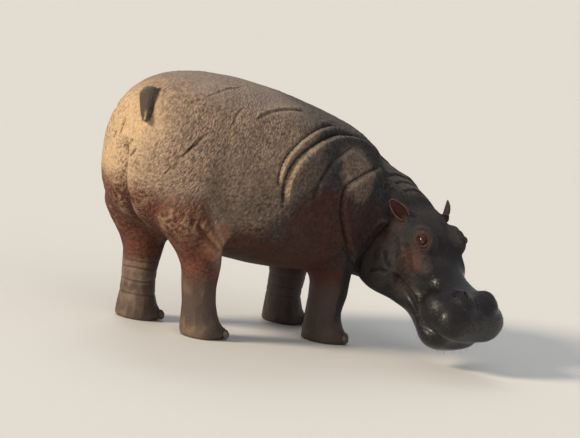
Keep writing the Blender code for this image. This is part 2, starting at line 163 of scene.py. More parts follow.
# Creases in the frame's metres: control points, width, depth and the swelling beside them.
NECK_CREASES = (
    (
        [(0.22, -0.04, 1.235), (0.13, -0.06, 1.235), (-0.06, -0.11, 1.20), (-0.20, -0.14, 1.13),
         (-0.29, -0.16, 1.05), (-0.32, -0.17, 0.96), (-0.30, -0.18, 0.88)],
        0.011, 0.011, 0.010,
    ),
    (
        [(0.62, 0.02, 1.06), (0.56, -0.02, 1.10), (0.48, -0.04, 1.15), (0.37, -0.05, 1.18),
         (0.16, -0.10, 1.195), (-0.03, -0.15, 1.155), (-0.18, -0.17, 1.085),
         (-0.262, -0.18, 0.99), (-0.275, -0.18, 0.88), (-0.24, -0.19, 0.74)],
        0.015, 0.020, 0.021,
    ),
    (
        [(0.30, -0.13, 1.14), (0.23, -0.15, 1.12), (0.065, -0.20, 1.06), (-0.025, -0.22, 0.965),
         (-0.055, -0.23, 0.91), (-0.07, -0.23, 0.83)],
        0.012, 0.009, 0.009,
    ),
    (
        [(0.60, -0.10, 1.03), (0.52, -0.14, 1.02), (0.37, -0.19, 1.00), (0.22, -0.23, 0.955),
         (0.155, -0.24, 0.925), (0.14, -0.245, 0.84), (0.165, -0.245, 0.75),
         (0.255, -0.22, 0.64), (0.38, -0.17, 0.53), (0.50, -0.13, 0.44)],
        0.012, 0.014, 0.014,
    ),
    (
        [(0.62, -0.13, 0.97), (0.68, -0.13, 1.00), (0.75, -0.13, 1.01), (0.82, -0.13, 0.98)],
        0.009, 0.005, 0.004,
    ),
    (
        [(0.64, -0.18, 0.94), (0.70, -0.18, 0.97), (0.77, -0.18, 0.975), (0.84, -0.18, 0.94)],
        0.008, 0.005, 0.003,
    ),
    (
        [(0.66, -0.23, 0.905), (0.72, -0.23, 0.93), (0.79, -0.23, 0.93), (0.85, -0.23, 0.90)],
        0.008, 0.004, 0.003,
    ),
)
FAR_CREASES = (
    ([(0.80, -0.10, 1.00), (0.93, -0.12, 0.93), (0.99, -0.14, 0.82), (0.99, -0.15, 0.70),
      (0.93, -0.15, 0.58), (0.82, -0.14, 0.47)], 0.014, 0.014, 0.014),
    ([(0.62, 0.05, 1.10), (0.80, 0.04, 1.04), (0.93, 0.04, 0.92), (0.97, 0.04, 0.78),
      (0.95, 0.05, 0.64)], 0.014, 0.011, 0.010),
    ([(0.40, 0.30, 1.22), (0.58, 0.33, 1.12), (0.72, 0.36, 0.96), (0.76, 0.38, 0.80)],
     0.014, 0.007, 0.006),
    ([(-0.52, 0.60, 0.70), (-0.46, 0.66, 0.60), (-0.38, 0.68, 0.52)], 0.012, 0.010, 0.008),
    ([(0.36, 0.62, 0.64), (0.48, 0.60, 0.60), (0.60, 0.58, 0.60)], 0.012, 0.008, 0.006),
    ([(0.28, -0.20, 0.60), (0.34, -0.19, 0.54), (0.42, -0.18, 0.49)], 0.011, 0.008, 0.006),
)
TRUNK_CREASES = (
    ([(-1.00, 0.39, 1.07), (-1.00, 0.375, 0.95), (-0.99, 0.36, 0.82), (-0.94, 0.35, 0.69),
      (-0.85, 0.36, 0.60), (-0.72, 0.38, 0.53)], 0.034, 0.036, 0.0),
    ([(-0.70, 0.12, 1.345), (-0.56, 0.13, 1.378), (-0.39, 0.155, 1.40)], 0.007, 0.004, 0.002),
    ([(-0.46, -0.04, 1.25), (-0.31, -0.02, 1.30), (-0.13, 0.0, 1.315), (0.0, 0.02, 1.31)],
     0.008, 0.006, 0.005),
    ([(-0.88, 0.06, 1.01), (-0.83, 0.04, 1.07), (-0.76, 0.01, 1.15)], 0.006, 0.009, 0.003),
    ([(-0.86, 0.05, 1.05), (-0.81, 0.03, 1.11), (-0.74, 0.01, 1.17)], 0.006, 0.007, 0.003),
    ([(-0.99, 0.45, 1.05), (-0.985, 0.43, 1.16)], 0.006, 0.011, 0.003),
    ([(-1.00, 0.50, 1.02), (-0.995, 0.485, 1.08)], 0.005, 0.009, 0.002),
    ([(-1.00, 0.37, 0.99), (-1.00, 0.33, 1.06)], 0.006, 0.011, 0.003),
    ([(-1.00, 0.335, 0.955), (-1.00, 0.295, 1.005)], 0.006, 0.010, 0.003),
    ([(-0.93, 0.12, 0.90), (-0.90, 0.10, 0.95)], 0.006, 0.008, 0.003),
    ([(-0.60, 0.0, 1.20), (-0.56, 0.0, 1.27), (-0.50, 0.01, 1.32)], 0.006, 0.006, 0.002),
    ([(-0.76, -0.04, 0.66), (-0.64, -0.03, 0.57), (-0.52, -0.02, 0.50)], 0.014, 0.007, 0.008),
    ([(-0.67, -0.05, 0.67), (-0.58, -0.04, 0.59), (-0.46, -0.03, 0.51)], 0.013, 0.005, 0.006),
)
LEG_RINGS = (0.155, 0.215, 0.285, 0.345)  # heights of the creases round each leg
RING_DEPTH = 0.0026
RING_DEPTH_LOSS = 0.0005  # each ring is so much shallower than the one below it
RING_WIDTH = 0.007
RING_WOBBLE = 0.012
RINGED_BELOW = (0.44, 0.34)
BEHIND_HEAD = -0.35  # along the head's frame, where the legs are

# ---------------------------------------------------------------- the head

# Creases of one side of the head in its own frame: along, out and up, then width, depth, roll.
HEAD_CREASES = (
    ([(-0.03, 0.20, -0.262), (0.08, 0.175, -0.262), (0.20, 0.165, -0.278), (0.32, 0.19, -0.285),
      (0.42, 0.235, -0.282), (0.50, 0.215, -0.275), (0.555, 0.13, -0.262),
      (0.575, 0.02, -0.255)], 0.013, 0.024, 0.0),
    ([(-0.19, 0.25, -0.44), (-0.195, 0.268, -0.35), (-0.222, 0.262, -0.22),
      (-0.230, 0.238, -0.14), (-0.225, 0.225, -0.07)], 0.015, 0.016, 0.012),
    ([(-0.06, 0.205, -0.075), (-0.01, 0.20, -0.10), (0.05, 0.185, -0.15),
      (0.10, 0.175, -0.20)], 0.012, 0.012, 0.0),
    ([(-0.12, 0.21, -0.09), (-0.07, 0.205, -0.13), (-0.02, 0.20, -0.18)], 0.010, 0.006, 0.004),
    ([(-0.03, 0.20, -0.25), (-0.07, 0.21, -0.235), (-0.11, 0.22, -0.20)], 0.009, 0.010, 0.004),
    ([(-0.03, 0.20, -0.27), (-0.07, 0.215, -0.30), (-0.10, 0.23, -0.35)], 0.009, 0.010, 0.004),
    ([(-0.10, 0.18, 0.01), (-0.07, 0.16, 0.05), (-0.02, 0.13, 0.075)], 0.009, 0.006, 0.004),
)
EYE_OUTWARD = (0.25, 0.88, 0.34)  # directions on her left side, in the head's frame
EYE_FORWARD = (1, 0, -0.20)
LID_OPENING = (0.0235, 0.0150)  # half length and half height of the gap between the lids
FRONT_CORNER = 1.15  # how much further the gap reaches towards the muzzle
LOWER_LID = 0.72  # how much less it reaches down
LID_THICKNESS = 0.0045
LID_REACH = 0.046
LID_BLEND = 0.006  # how much the lids may draw the brow inward
LID_RIM = (0.0018, 1.15, 0.16)  # height, place and breadth, in openings
BEHIND_LIDS = 0.009  # how far under the ball's front the skin lies in the gap
AROUND_EYE = 0.12  # reach of the lids and their folds
FOLD_STRETCH = 1.22  # the folds are longer than high
# Folds round the eye: depth, radius, width, 1 above or -1 below, turn, where it fades in.
LID_FOLDS = (
    (0.0046, 0.0275, 0.0030, 1, 0.0, -0.1, 0.55),
    (0.0036, 0.0430, 0.0042, 1, 0.5, 0.0, 0.8),
    (0.0026, 0.0265, 0.0028, -1, 0.0, 0.15, 0.8),
    (0.0034, 0.0400, 0.0045, -1, -0.5, 0.1, 0.9),
)
LID_ROLL = (0.0030, 0.0345, 0.0050)  # height, radius and width of the swelling between them
NOSTRIL = (0.395, 0.094, 0.0)
NOSTRIL_SLIT = (0.94, 0.33, -0.05)
NOSTRIL_OUTWARD = (0.10, 0.22, 0.97)
AROUND_NOSTRIL = 0.11
NOSTRIL_LENGTH = 0.052
NOSTRIL_WIDTH = 0.0065
NOSTRIL_BEND = 0.014  # how far the middle of the slit bows outward
NOSTRIL_DEPTH = 0.020
NOSTRIL_RIM = 0.0055
NOSTRIL_ENDS = 0.35  # the slit's width at its ends, as a share
EAR_ROOT = (-0.214, 0.18, -0.003)
EAR_SHORTENING = 0.20
EAR_LOOKS = (0.80, 0.50, 0.33)
EAR_RISE = (-0.2, 0.35, 0.9)

# ---------------------------------------------------------------- places of the colours

# Each spot of colour: place, radius, strength. Those on the head are in its own frame.
HEAD_BLUSHES = (
    ((0.03, 0.19, -0.13), 0.13, 0.7),
    ((-0.20, 0.20, -0.06), 0.10, 0.55),
    ((0.06, 0.17, -0.26), 0.12, 0.5),
    ((-0.30, 0.22, -0.20), 0.14, 0.5),
)
BODY_BLUSHES = (
    ((0.05, -0.26, 0.66), 0.40, 0.75),
    ((0.40, -0.22, 0.68), 0.26, 0.7),
)
LID_BLUSH = (0.085, 0.8)
# Painted light: the hump behind the head is kept out of the dark colour, as if lit.
LIT_HUMP = ((0.30, -0.19, 1.0), 0.24, 0.65)
# Painted shade: a darker patch on the flank in front of the rump, where the light only grazes.
SHADED_FLANK_PATCH = ((-0.57, -0.08, 0.90), 0.32, 0.30)
# Painted highlight: a pale orange patch on the groin's folds, as if lit.
LIT_GROIN = ((-0.57, -0.02, 0.56), 0.17)
CHEEK_SHINE = (tuple(from_head(-0.23, -0.235, -0.12)), 0.05)
TAIL_ROOT = (-0.86, 0.40, 1.335)
TAIL_TIP = (-0.988, 0.25, 1.205)
TAIL_REACH = 0.012
TAIL_FADE = (-0.02, 0.10)  # distances from the root over which the tail's painted shade comes in
EAR_FRONT = -0.15  # along the head, where the ears' colour ends
HOLLOW_PASSES = 8
# Borders along the leaning length of the body, and in height. Along it the rump is lighter and the
# front darker: partly the dry tan rump and the wet dark neck, shoulder and head, partly painted
# light on the rump and painted shade on the front and head.
BROWN_START = (-1.20, -0.80)
DARK_START = (-0.56, 0.16)
DARK_HEAD = 1.5  # more than 1, so that no patch of the head turns brown
RED_BELOW = 0.60
RED_HIGHER_BEHIND = 0.34
RED_BLEND = (0.02, -0.32)
SHIN_BELOW = (0.48, 0.22)

# ---------------------------------------------------------------- grain of the hide

# Sizes of the grains, then the depths that they are given.
PEBBLES = (0.0125, 0.0135, 0.021)
SEEDS = (0.0060, 0.0060, 0.0085)
SMEARS = (0.09, 0.09, 0.32)
FURROWS = (0.034, 0.034, 0.009)
ACROSS_MUZZLE = radians(90) + HEAD_PITCH
PEBBLE_DEPTH = 0.0070
GRAIN_DEPTH = 0.0034
FURROW_DEPTH = 0.0016
PORE_DEPTH = 0.0016
CELL_WARP = 0.021  # how far noise shakes the pebbles' places
RAGGED = 0.4  # how ragged the borders between colours are
WET_COAT = 0.14
WET_COAT_ROUGHNESS = 0.16
SHEEN = 0.26  # specular level of the whole hide

# ---------------------------------------------------------------- eyes, toenails and bristles

EYE_SHRINK = 0.985  # keeps the ball just under its solid
EYE_SEGMENTS = (56, 40)
CORNEA = 0.0016  # how far the clear front bulges
CORNEA_EDGE = (0.82, 0.97)
NAIL_VOXEL = 0.0016
NAIL_SMOOTHING = 14
NAIL_SWELLING = 0.0006  # makes up for what the smoothing takes off
FEWEST_NAIL_FACES = 100
BRISTLE_SEED = 20
BRISTLE_SIDES = 5
BRISTLE_RINGS = 4
BRISTLE_BEND = 0.22  # how far a bristle's tip leans over, as a share of its length
BRISTLE_ROOT = 0.05  # share of its length below the skin
PATCH = 0.003  # size of a tuft's place on the unwrap
# Shortest, longest and half thickness.
MUZZLE_BRISTLE = (0.018, 0.042, 0.00065)
EAR_BRISTLE = (0.008, 0.018, 0.00045)
TAIL_BRISTLE = (0.015, 0.035, 0.0006)
BRISTLED_MUZZLE = (0.20, 0.56)  # along the head
MUZZLE_CORE = -0.22  # height of the line that the muzzle's bristles point away from
MUZZLE_TOP = 0.93  # no bristles where the skin faces up more than this
EAR_GAP = -0.55  # the lowest part of an ear's rim has none
TAIL_TUFT = 0.030

# ---------------------------------------------------------------- the stage

# The camera's aim in the frame, and the way it looks at it.
CAMERA_AIM = Vector((-0.394, -0.365, 0.767))
CAMERA_AZIMUTH = radians(-48.2)
CAMERA_HEIGHT = radians(7.72)
CAMERA_ROLL = radians(9.76)
CAMERA_LENS = 284.0
CAMERA_CLIP = 400
SKY_COLOUR = (0.92, 0.95, 1.0, 1)
SKY_STRENGTH = 0.46
# Each light: name, azimuth, height, strength, softness in degrees, colour, seen in reflections.
LIGHTS = (
    ("key", -101, 27, 4.1, 14, (1.0, 0.87, 0.70), True),
    ("fill", -30, 40, 0.45, 40, (0.97, 0.98, 1.0), False),
    ("rim", 140, 40, 0.90, 30, (0.95, 0.97, 1.0), False),
)
FLOOR_ROUGHNESS = 0.7


# ---------------------------------------------------------------- tools on arrays of points

def smoothstep(low, high, value):
    share = np.clip((value - low) / (high - low), 0, 1)
    return share * share * (3 - 2 * share)


def hump(value, width):
    return np.exp(-((value / width) ** 2))


def distances(points, centre):
    return np.linalg.norm(points - np.array(centre), axis=1)


def in_box(points, low, high, reach):
    """Whether each point is in a box widened by the reach."""
    wide_low, wide_high = np.array(low) - reach, np.array(high) + reach
    return np.all((points > wide_low) & (points < wide_high), axis=1)


def smooth_path(controls, count=24):
    """Points of a smooth curve through the controls."""
    rows = np.array(controls, float)
    padded = np.vstack([2 * rows[0] - rows[1], rows, 2 * rows[-1] - rows[-2]])
    out = []
    for place in np.linspace(0, len(rows) - 1, count):
        i = min(int(place), len(rows) - 2)
        t = place - i
        a, b, c, d = padded[i : i + 4]
        curve = 2 * b + (c - a) * t + (2 * a - 5 * b + 4 * c - d) * t**2
        out.append(0.5 * (curve + (3 * b - a - 3 * c + d) * t**3))
    return np.array(out)


def along_path(points, normals, path):
    """Distance to a path, signed by the side it is on, and the share of the way along it."""
    nearest = np.full(len(points), np.inf)
    share = np.zeros(len(points))
    side = np.ones(len(points))
    for i, (start, end) in enumerate(zip(path, path[1:])):
        step = end - start
        t = np.clip((points - start) @ step / (step @ step), 0, 1)
        gap = points - start - t[:, None] * step
        distance = np.linalg.norm(gap, axis=1)
        closer = distance < nearest
        nearest[closer] = distance[closer]
        share[closer] = (i + t[closer]) / (len(path) - 1)
        turn = np.einsum("ij,ij->i", np.cross(normals, step), gap)
        side[closer] = np.sign(turn[closer])
    return nearest * side, share


class Clay:
    """The skin's points while they are being sculpted."""

    def __init__(self, mesh):
        self.mesh = mesh
        count = len(mesh.vertices)
        self.points = np.zeros(count * 3, np.float32)
        mesh.vertices.foreach_get("co", self.points)
        self.points = self.points.reshape(-1, 3).astype(float)
        self.read_normals()

    def read_normals(self):
        normals = np.zeros(self.points.size, np.float32)
        self.mesh.vertices.foreach_get("normal", normals)
        self.normals = normals.reshape(-1, 3).astype(float)

    def settle(self):
        """Writes the points back and reads the new normals."""
        self.mesh.vertices.foreach_set("co", self.points.astype(np.float32).ravel())
        self.mesh.update()
        self.read_normals()

    def push(self, amount):
        self.points += self.normals * amount[:, None]

    def ease(self, centres, radius, times):
        """Smooths the points near some places."""
        smoothed = spread_out(self.points, neighbours(self.mesh), times)
        for centre in centres:
            share = smoothstep(radius, radius * 0.7, distances(self.points, centre))[:, None]
            self.points = self.points * (1 - share) + smoothed * share
        self.settle()

    def on_skin(self, path):
        """Moves a path's points to the nearest points of the skin."""
        near = in_box(self.points, path.min(axis=0), path.max(axis=0), SNAP_REACH)
        close = self.points[near]
        eased = np.array([close[np.argmin(((close - spot) ** 2).sum(axis=1))] for spot in path])
        for _ in range(SNAP_EASING):
            eased[1:-1] = (eased[:-2] + 2 * eased[1:-1] + eased[2:]) / 4
        return eased

    def crease(self, controls, width, depth, roll):
        """Presses a crease along a curve. A roll swells the skin on the crease's left side."""
        path = self.on_skin(smooth_path(controls))
        reach = width * 3 * ROLL_SPREAD
        near = in_box(self.points, path.min(axis=0), path.max(axis=0), reach)
        chosen = np.nonzero(near)[0]
        gap, share = along_path(self.points[chosen], self.normals[chosen], path)
        fade = smoothstep(0.0, CREASE_ENDS, share) * smoothstep(1.0, 1 - CREASE_ENDS, share)
        steep = np.where(gap > 0, width * LEFT_BANK, width * RIGHT_BANK)
        amount = -depth * hump(gap, steep)
        swell = np.where(gap > 0, width * ROLL_SPREAD, width)
        amount += roll * hump(gap - width * ROLL_AWAY, swell)
        self.points[chosen] += self.normals[chosen] * (amount * fade)[:, None]
        self.settle()


def mesh_tree(mesh):
    corners = [vertex.co for vertex in mesh.vertices]
    return BVHTree.FromPolygons(corners, [face.vertices for face in mesh.polygons])


def closeness(points, node, reach):
    """1 on a node's own surface, falling to 0 at the reach."""
    tree = mesh_tree(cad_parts[node].data)
    low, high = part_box(node)
    out = np.zeros(len(points))
    for i in np.nonzero(in_box(points, low, high, reach))[0]:
        distance = tree.find_nearest(Vector(points[i]), reach)[3]
        if distance is not None:
            out[i] = 1 - distance / reach
    return out


def noise_field(points, lengths, tilt=0.0):
    """Noise from about -1 to 1, in grains of the given lengths, leaning forward by the tilt."""
    turn = np.array(Matrix.Rotation(tilt, 3, "Y"))
    places = points @ turn / np.array(lengths)
    return np.array([noise.noise(place) for place in places.tolist()])


# ---------------------------------------------------------------- regions of the body

def body_regions(points):
    """Masks from 0 to 1 that both the sculpting and the colours use."""
    along, left, up = to_head(points).T
    on_head = smoothstep(*HEAD_START, along) * (np.abs(left) < HEAD_HALF_WIDTH)
    on_head = on_head * smoothstep(*HEAD_FLOOR, up)
    muzzle = smoothstep(*MUZZLE_START, along) * on_head
    flank = (1 - on_head) * smoothstep(*FLANK_FLOOR, points[:, 2])
    return {"head": on_head, "muzzle": muzzle, "flank": flank}


# ---------------------------------------------------------------- the skin

def finished(mesh, name):
    """A bmesh turned into mesh data."""
    data = bpy.data.meshes.new(name)
    mesh.to_mesh(data)
    mesh.free()
    return data


def link(name, data):
    thing = bpy.data.objects.new(name, data)
    bpy.context.scene.collection.objects.link(thing)
    return thing


def gather(name, nodes):
    """A piece made of copies of CAD nodes, with their doubles merged."""
    mesh = bmesh.new()
    for node in nodes:
        mesh.from_mesh(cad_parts[node].data)
    bmesh.ops.remove_doubles(mesh, verts=mesh.verts, dist=0.00005)
    return link(name, finished(mesh, name))


def bake(thing):
    """Applies an object's modifiers."""
    bpy.context.view_layer.update()
    graph = bpy.context.evaluated_depsgraph_get()
    data = bpy.data.meshes.new_from_object(thing.evaluated_get(graph), depsgraph=graph)
    thing.modifiers.clear()
    old = thing.data
    thing.data = data
    bpy.data.meshes.remove(old)


def modify(thing, kind, **settings):
    """Adds a modifier, sets it and applies it."""
    modifier = thing.modifiers.new(kind.lower(), kind)
    for name, value in settings.items():
        setattr(modifier, name, value)
    bake(thing)


def weight_group(thing, name, weights):
    """A vertex group from an array of weights, in steps."""
    group = thing.vertex_groups.new(name=name)
    stepped = np.rint(np.clip(weights, 0, 1) * WEIGHT_STEPS).astype(int)
    for step in range(1, WEIGHT_STEPS + 1):
        chosen = np.nonzero(stepped == step)[0]
        group.add(chosen.tolist(), step / WEIGHT_STEPS, "REPLACE")
    return name


def press_leg_rings(clay):
    x, y, z = clay.points.T
    amount = np.zeros(len(z))
    for i, height in enumerate(LEG_RINGS):
        wobble = RING_WOBBLE * np.sin(9 * x + 7 * y + 2.1 * i)
        amount -= (RING_DEPTH - RING_DEPTH_LOSS * i) * hump(z - height - wobble, RING_WIDTH)
    amount *= smoothstep(*RINGED_BELOW, z) * (to_head(clay.points)[:, 0] < BEHIND_HEAD)
    clay.push(amount)
    clay.settle()


def eye_axes(side):
    """Rows: forward, up and outward, for an eye and its lids."""
    outward = head_way(EYE_OUTWARD, SIDES[side]).normalized()
    forward = HEAD @ Vector(EYE_FORWARD)
    forward = (forward - outward * forward.dot(outward)).normalized()
    upward = outward.cross(forward) * SIDES[side]
    return np.array([forward, upward, outward])


def shape_eye(clay, side):
    """Lids: an almond opening in a thick ring, with soft folds round it."""
    centre = np.array(EYE[side])
    axes = eye_axes(side)
    local = (clay.points - centre) @ axes.T
    near = (np.linalg.norm(local, axis=1) < AROUND_EYE) & (local[:, 2] > -0.02)
    chosen = np.nonzero(near)[0]
    u, v, w = local[chosen].T
    flat = np.hypot(u, v)
    length, height = LID_OPENING
    half_length = np.where(u > 0, length * FRONT_CORNER, length)
    half_height = np.where(v > 0, height, height * LOWER_LID)
    opening = np.hypot(u / half_length, v / half_height)
    ball = np.sqrt(np.maximum(EYE_RADIUS**2 - flat**2, 0))
    lid = np.sqrt(np.maximum((EYE_RADIUS + LID_THICKNESS) ** 2 - flat**2, 0))
    rim_height, rim_place, rim_width = LID_RIM
    rim = rim_height * hump(opening - rim_place, rim_width)
    lid = np.maximum(lid, w - LID_BLEND) + rim
    target = np.where(opening < 1, ball - BEHIND_LIDS, lid)
    pull = np.where(opening < 1, 1.0, smoothstep(LID_REACH, LID_REACH * 0.55, flat))
    around = np.arctan2(v, u)
    ring = np.hypot(u / FOLD_STRETCH, v + 0.002)
    folds = np.zeros(len(u))
    for depth, radius, width, above, turn, low, high in LID_FOLDS:
        fade = smoothstep(low, high, above * np.sin(around + turn))
        folds += depth * hump(ring - radius, width) * fade
    roll_height, roll_radius, roll_width = LID_ROLL
    upper = smoothstep(-0.1, 0.55, np.sin(around))
    rolls = roll_height * hump(ring - roll_radius, roll_width) * (0.35 + 0.65 * upper)
    local[chosen, 2] = w + (target - w) * pull - folds + rolls
    clay.points[chosen] = centre + local[chosen] @ axes
    clay.settle()


def shape_nostril(clay, sign):
    """A crescent slit with a raised rim on each mound of the muzzle."""
    centre = np.array(head_place(NOSTRIL, sign))
    slit = head_way(NOSTRIL_SLIT, sign).normalized()
    outward = head_way(NOSTRIL_OUTWARD, sign)
    outward = (outward - slit * outward.dot(slit)).normalized()
    axes = np.array([slit, outward.cross(slit) * sign, outward])
    local = (clay.points - centre) @ axes.T
    near = (np.linalg.norm(local, axis=1) < AROUND_NOSTRIL) & (clay.normals @ axes[2] > 0.1)
    chosen = np.nonzero(near)[0]
    u, v = local[chosen, :2].T
    share = np.clip(1 - (u / NOSTRIL_LENGTH) ** 2, 0, 1)
    gap = v - NOSTRIL_BEND * share
    width = NOSTRIL_WIDTH * (NOSTRIL_ENDS + (1 - NOSTRIL_ENDS) * share)
    amount = -NOSTRIL_DEPTH * share * np.exp(-((gap / width) ** 4))
    amount += NOSTRIL_RIM * share * hump(np.abs(gap) - 2.3 * width, 1.3 * width)
    clay.points[chosen] += amount[:, None] * axes[2]
    clay.settle()


def shape_head(clay):
    for sign in SIDES.values():
        shape_nostril(clay, sign)
        for spots, width, depth, roll in HEAD_CREASES:
            path = [tuple(head_place(spot, sign)) for spot in spots]
            clay.crease(path[::-sign], width, depth, roll)


def add_relief(clay):
    """Low lumps everywhere, leaning streaks of pebbles on the trunk, grain on the muzzle."""
    regions = body_regions(clay.points)
    ears = sum(closeness(clay.points, f"ear_{side}", EAR_REACH) for side in SIDES)
    calm = 1 - np.minimum(ears * 2, 1)
    lumps = noise_field(clay.points, LUMPS, STREAK_TILT)
    streaks = noise_field(clay.points + 3.1, STREAKS, STREAK_TILT)
    wrinkled = smoothstep(-0.15, 0.45, noise_field(clay.points + 7.7, WRINKLED_PATCHES))
    clay.push(calm * lumps * (LUMP_HEIGHT - LUMP_LOSS_ON_HEAD * regions["head"]))
    clay.push(streaks * regions["flank"] * (STREAK_HEIGHT + WRINKLED_STREAK_HEIGHT * wrinkled))
    grain = noise_field(clay.points + 1.7, MUZZLE_GRAIN)
    clay.push(grain * regions["muzzle"] * MUZZLE_GRAIN_HEIGHT)
    clay.settle()


def refine(thing, centres, radius):
    """Divides the faces near some places, for their finer shapes."""
    mesh = bmesh.new()
    mesh.from_mesh(thing.data)
    near = set()
    for centre in centres:
        near.update(v for v in mesh.verts if (v.co - centre).length < radius)
    edges = [edge for edge in mesh.edges if edge.verts[0] in near and edge.verts[1] in near]
    bmesh.ops.subdivide_edges(mesh, edges=edges, cuts=1, use_grid_fill=True)
    mesh.to_mesh(thing.data)
    mesh.free()


def on_short_ears(points):
    """How much each point of the finished skin belongs to an ear."""
    out = np.zeros(len(points))
    for side, sign in SIDES.items():
        root = np.array(head_place(EAR_ROOT, sign))
        drawn_out = root + (points - root) / (1 - EAR_SHORTENING)
        out = np.maximum(out, closeness(drawn_out, f"ear_{side}", EAR_REACH))
    return out


def shorten_ears(clay):
    """Draws each ear in towards its root."""
    for side, sign in SIDES.items():
        root = np.array(head_place(EAR_ROOT, sign))
        share = smoothstep(0.1, 0.8, closeness(clay.points, f"ear_{side}", EAR_REACH))
        share = share * EAR_SHORTENING
        clay.points += share[:, None] * (root - clay.points)
    clay.settle()


def smoothing_shares(points):
    """How much of the smoothing each point gets: less on head, muzzle, feet and ears."""
    regions = body_regions(points)
    shares = 1 - regions["head"] * (1 - HEAD_SMOOTHING)
    nose = smoothstep(*NOSE_EDGE, to_head(points)[:, 0])
    shares = np.maximum(shares, regions["muzzle"] * (MUZZLE_SMOOTHING * (0.6 + 0.4 * nose)))
    shares *= FOOT_SMOOTHING + (1 - FOOT_SMOOTHING) * smoothstep(*FOOT_TOP, points[:, 2])
    ears = np.maximum(closeness(points, "ear_left", 0.05), closeness(points, "ear_right", 0.05))
    return np.minimum(shares, 1 - (1 - EAR_SMOOTHING) * ears**0.5)


def make_skin(fineness):
    """Melts the flesh solids into one skin, sculpts it and thins it."""
    hide = gather("hide", FLESH)
    modify(hide, "REMESH", mode="VOXEL", voxel_size=fineness)
    group = weight_group(hide, "melt", smoothing_shares(Clay(hide.data).points))
    modify(hide, "SMOOTH", factor=0.5, iterations=SMOOTHING, vertex_group=group)
    hide.vertex_groups.clear()
    openings = [*EYE.values(), *(head_place(NOSTRIL, sign) for sign in SIDES.values())]
    refine(hide, openings, DETAIL_REACH)
    refine(hide, EYE.values(), LID_DETAIL_REACH)
    clay = Clay(hide.data)
    shorten_ears(clay)
    for controls, width, depth, roll in NECK_CREASES + FAR_CREASES + TRUNK_CREASES:
        clay.crease(controls, width, depth, roll)
    press_leg_rings(clay)
    shape_head(clay)
    add_relief(clay)
    for side in SIDES:
        shape_eye(clay, side)
    clay.ease(openings, EASED_REACH, EASED_PASSES)
    clay.points[:, 2] = np.maximum(clay.points[:, 2], 0)
    clay.settle()
    keep = on_short_ears(clay.points) > 0
    for centre in openings:
        keep |= distances(clay.points, centre) < UNTHINNED_REACH
    group = weight_group(hide, "thin", np.where(keep, 0.0, 1.0))
    count = sum(len(face.vertices) - 2 for face in hide.data.polygons)
    modify(hide, "DECIMATE", ratio=SKIN_TRIANGLES / count, vertex_group=group)
    hide.vertex_groups.clear()
    return hide


# ---------------------------------------------------------------- masks for the colours

def neighbours(mesh):
    edges = np.zeros(len(mesh.edges) * 2, np.int32)
    mesh.edges.foreach_get("vertices", edges)
    return edges.reshape(-1, 2)


def spread_out(values, edges, times):
    """Averages each point's value with its neighbours', again and again."""
    count = np.bincount(edges.ravel(), minlength=len(values)).astype(float)
    count = np.maximum(count, 1)
    for _ in range(times):
        total = np.zeros_like(values)
        np.add.at(total, edges[:, 0], values[edges[:, 1]])
        np.add.at(total, edges[:, 1], values[edges[:, 0]])
        mean = total / (count[:, None] if values.ndim > 1 else count)
        values = 0.5 * values + 0.5 * mean
    return values


def hollows(clay):
    """How far each point lies below its surroundings, in millimetres; negative on ridges."""
    around = spread_out(clay.points.copy(), neighbours(clay.mesh), HOLLOW_PASSES)
    return np.einsum("ij,ij->i", around - clay.points, clay.normals) * 1000


def add_mask(mesh, name, values):
    attribute = mesh.attributes.new(name, "FLOAT", "POINT")
    attribute.data.foreach_set("value", values.astype(np.float32))


def ball_mask(points, centre, radius, strength=1.0):
    return strength * smoothstep(radius, radius * 0.45, distances(points, centre))


def ear_openings(points, normals):
    """1 where an ear's skin faces the way the ear looks."""
    left = to_head(points)[:, 1]
    out = np.zeros(len(points))
    for sign in SIDES.values():
        looks = np.array(head_way(EAR_LOOKS, sign).normalized())
        out = np.maximum(out, smoothstep(-0.1, 0.45, normals @ looks) * (left * sign > 0))
    return out


def reddish(points, normals, body, lit_far_hip):
    """Where the hide is thin and red: low on the body, under it, and in blushes."""
    x, _, z = points.T
    # Painted light: the lit far hip raises the reddish border there.
    border = RED_BELOW + RED_HIGHER_BEHIND * smoothstep(-0.52, -0.76, x) + 0.3 * lit_far_hip
    low = smoothstep(border + RED_BLEND[0], border + RED_BLEND[1], z) * body
    under = smoothstep(0.30, 0.75, -normals[:, 2]) * body
    out = np.maximum(low * smoothstep(0.12, 0.34, z) * 1.15, under * 0.8)
    for spot in BODY_BLUSHES:
        out = np.maximum(out, ball_mask(points, *spot))
    for side, sign in SIDES.items():
        out = np.maximum(out, ball_mask(points, EYE[side], *LID_BLUSH))
        for place, radius, strength in HEAD_BLUSHES:
            blush = ball_mask(points, head_place(place, sign), radius, strength)
            out = np.maximum(out, blush)
    return out


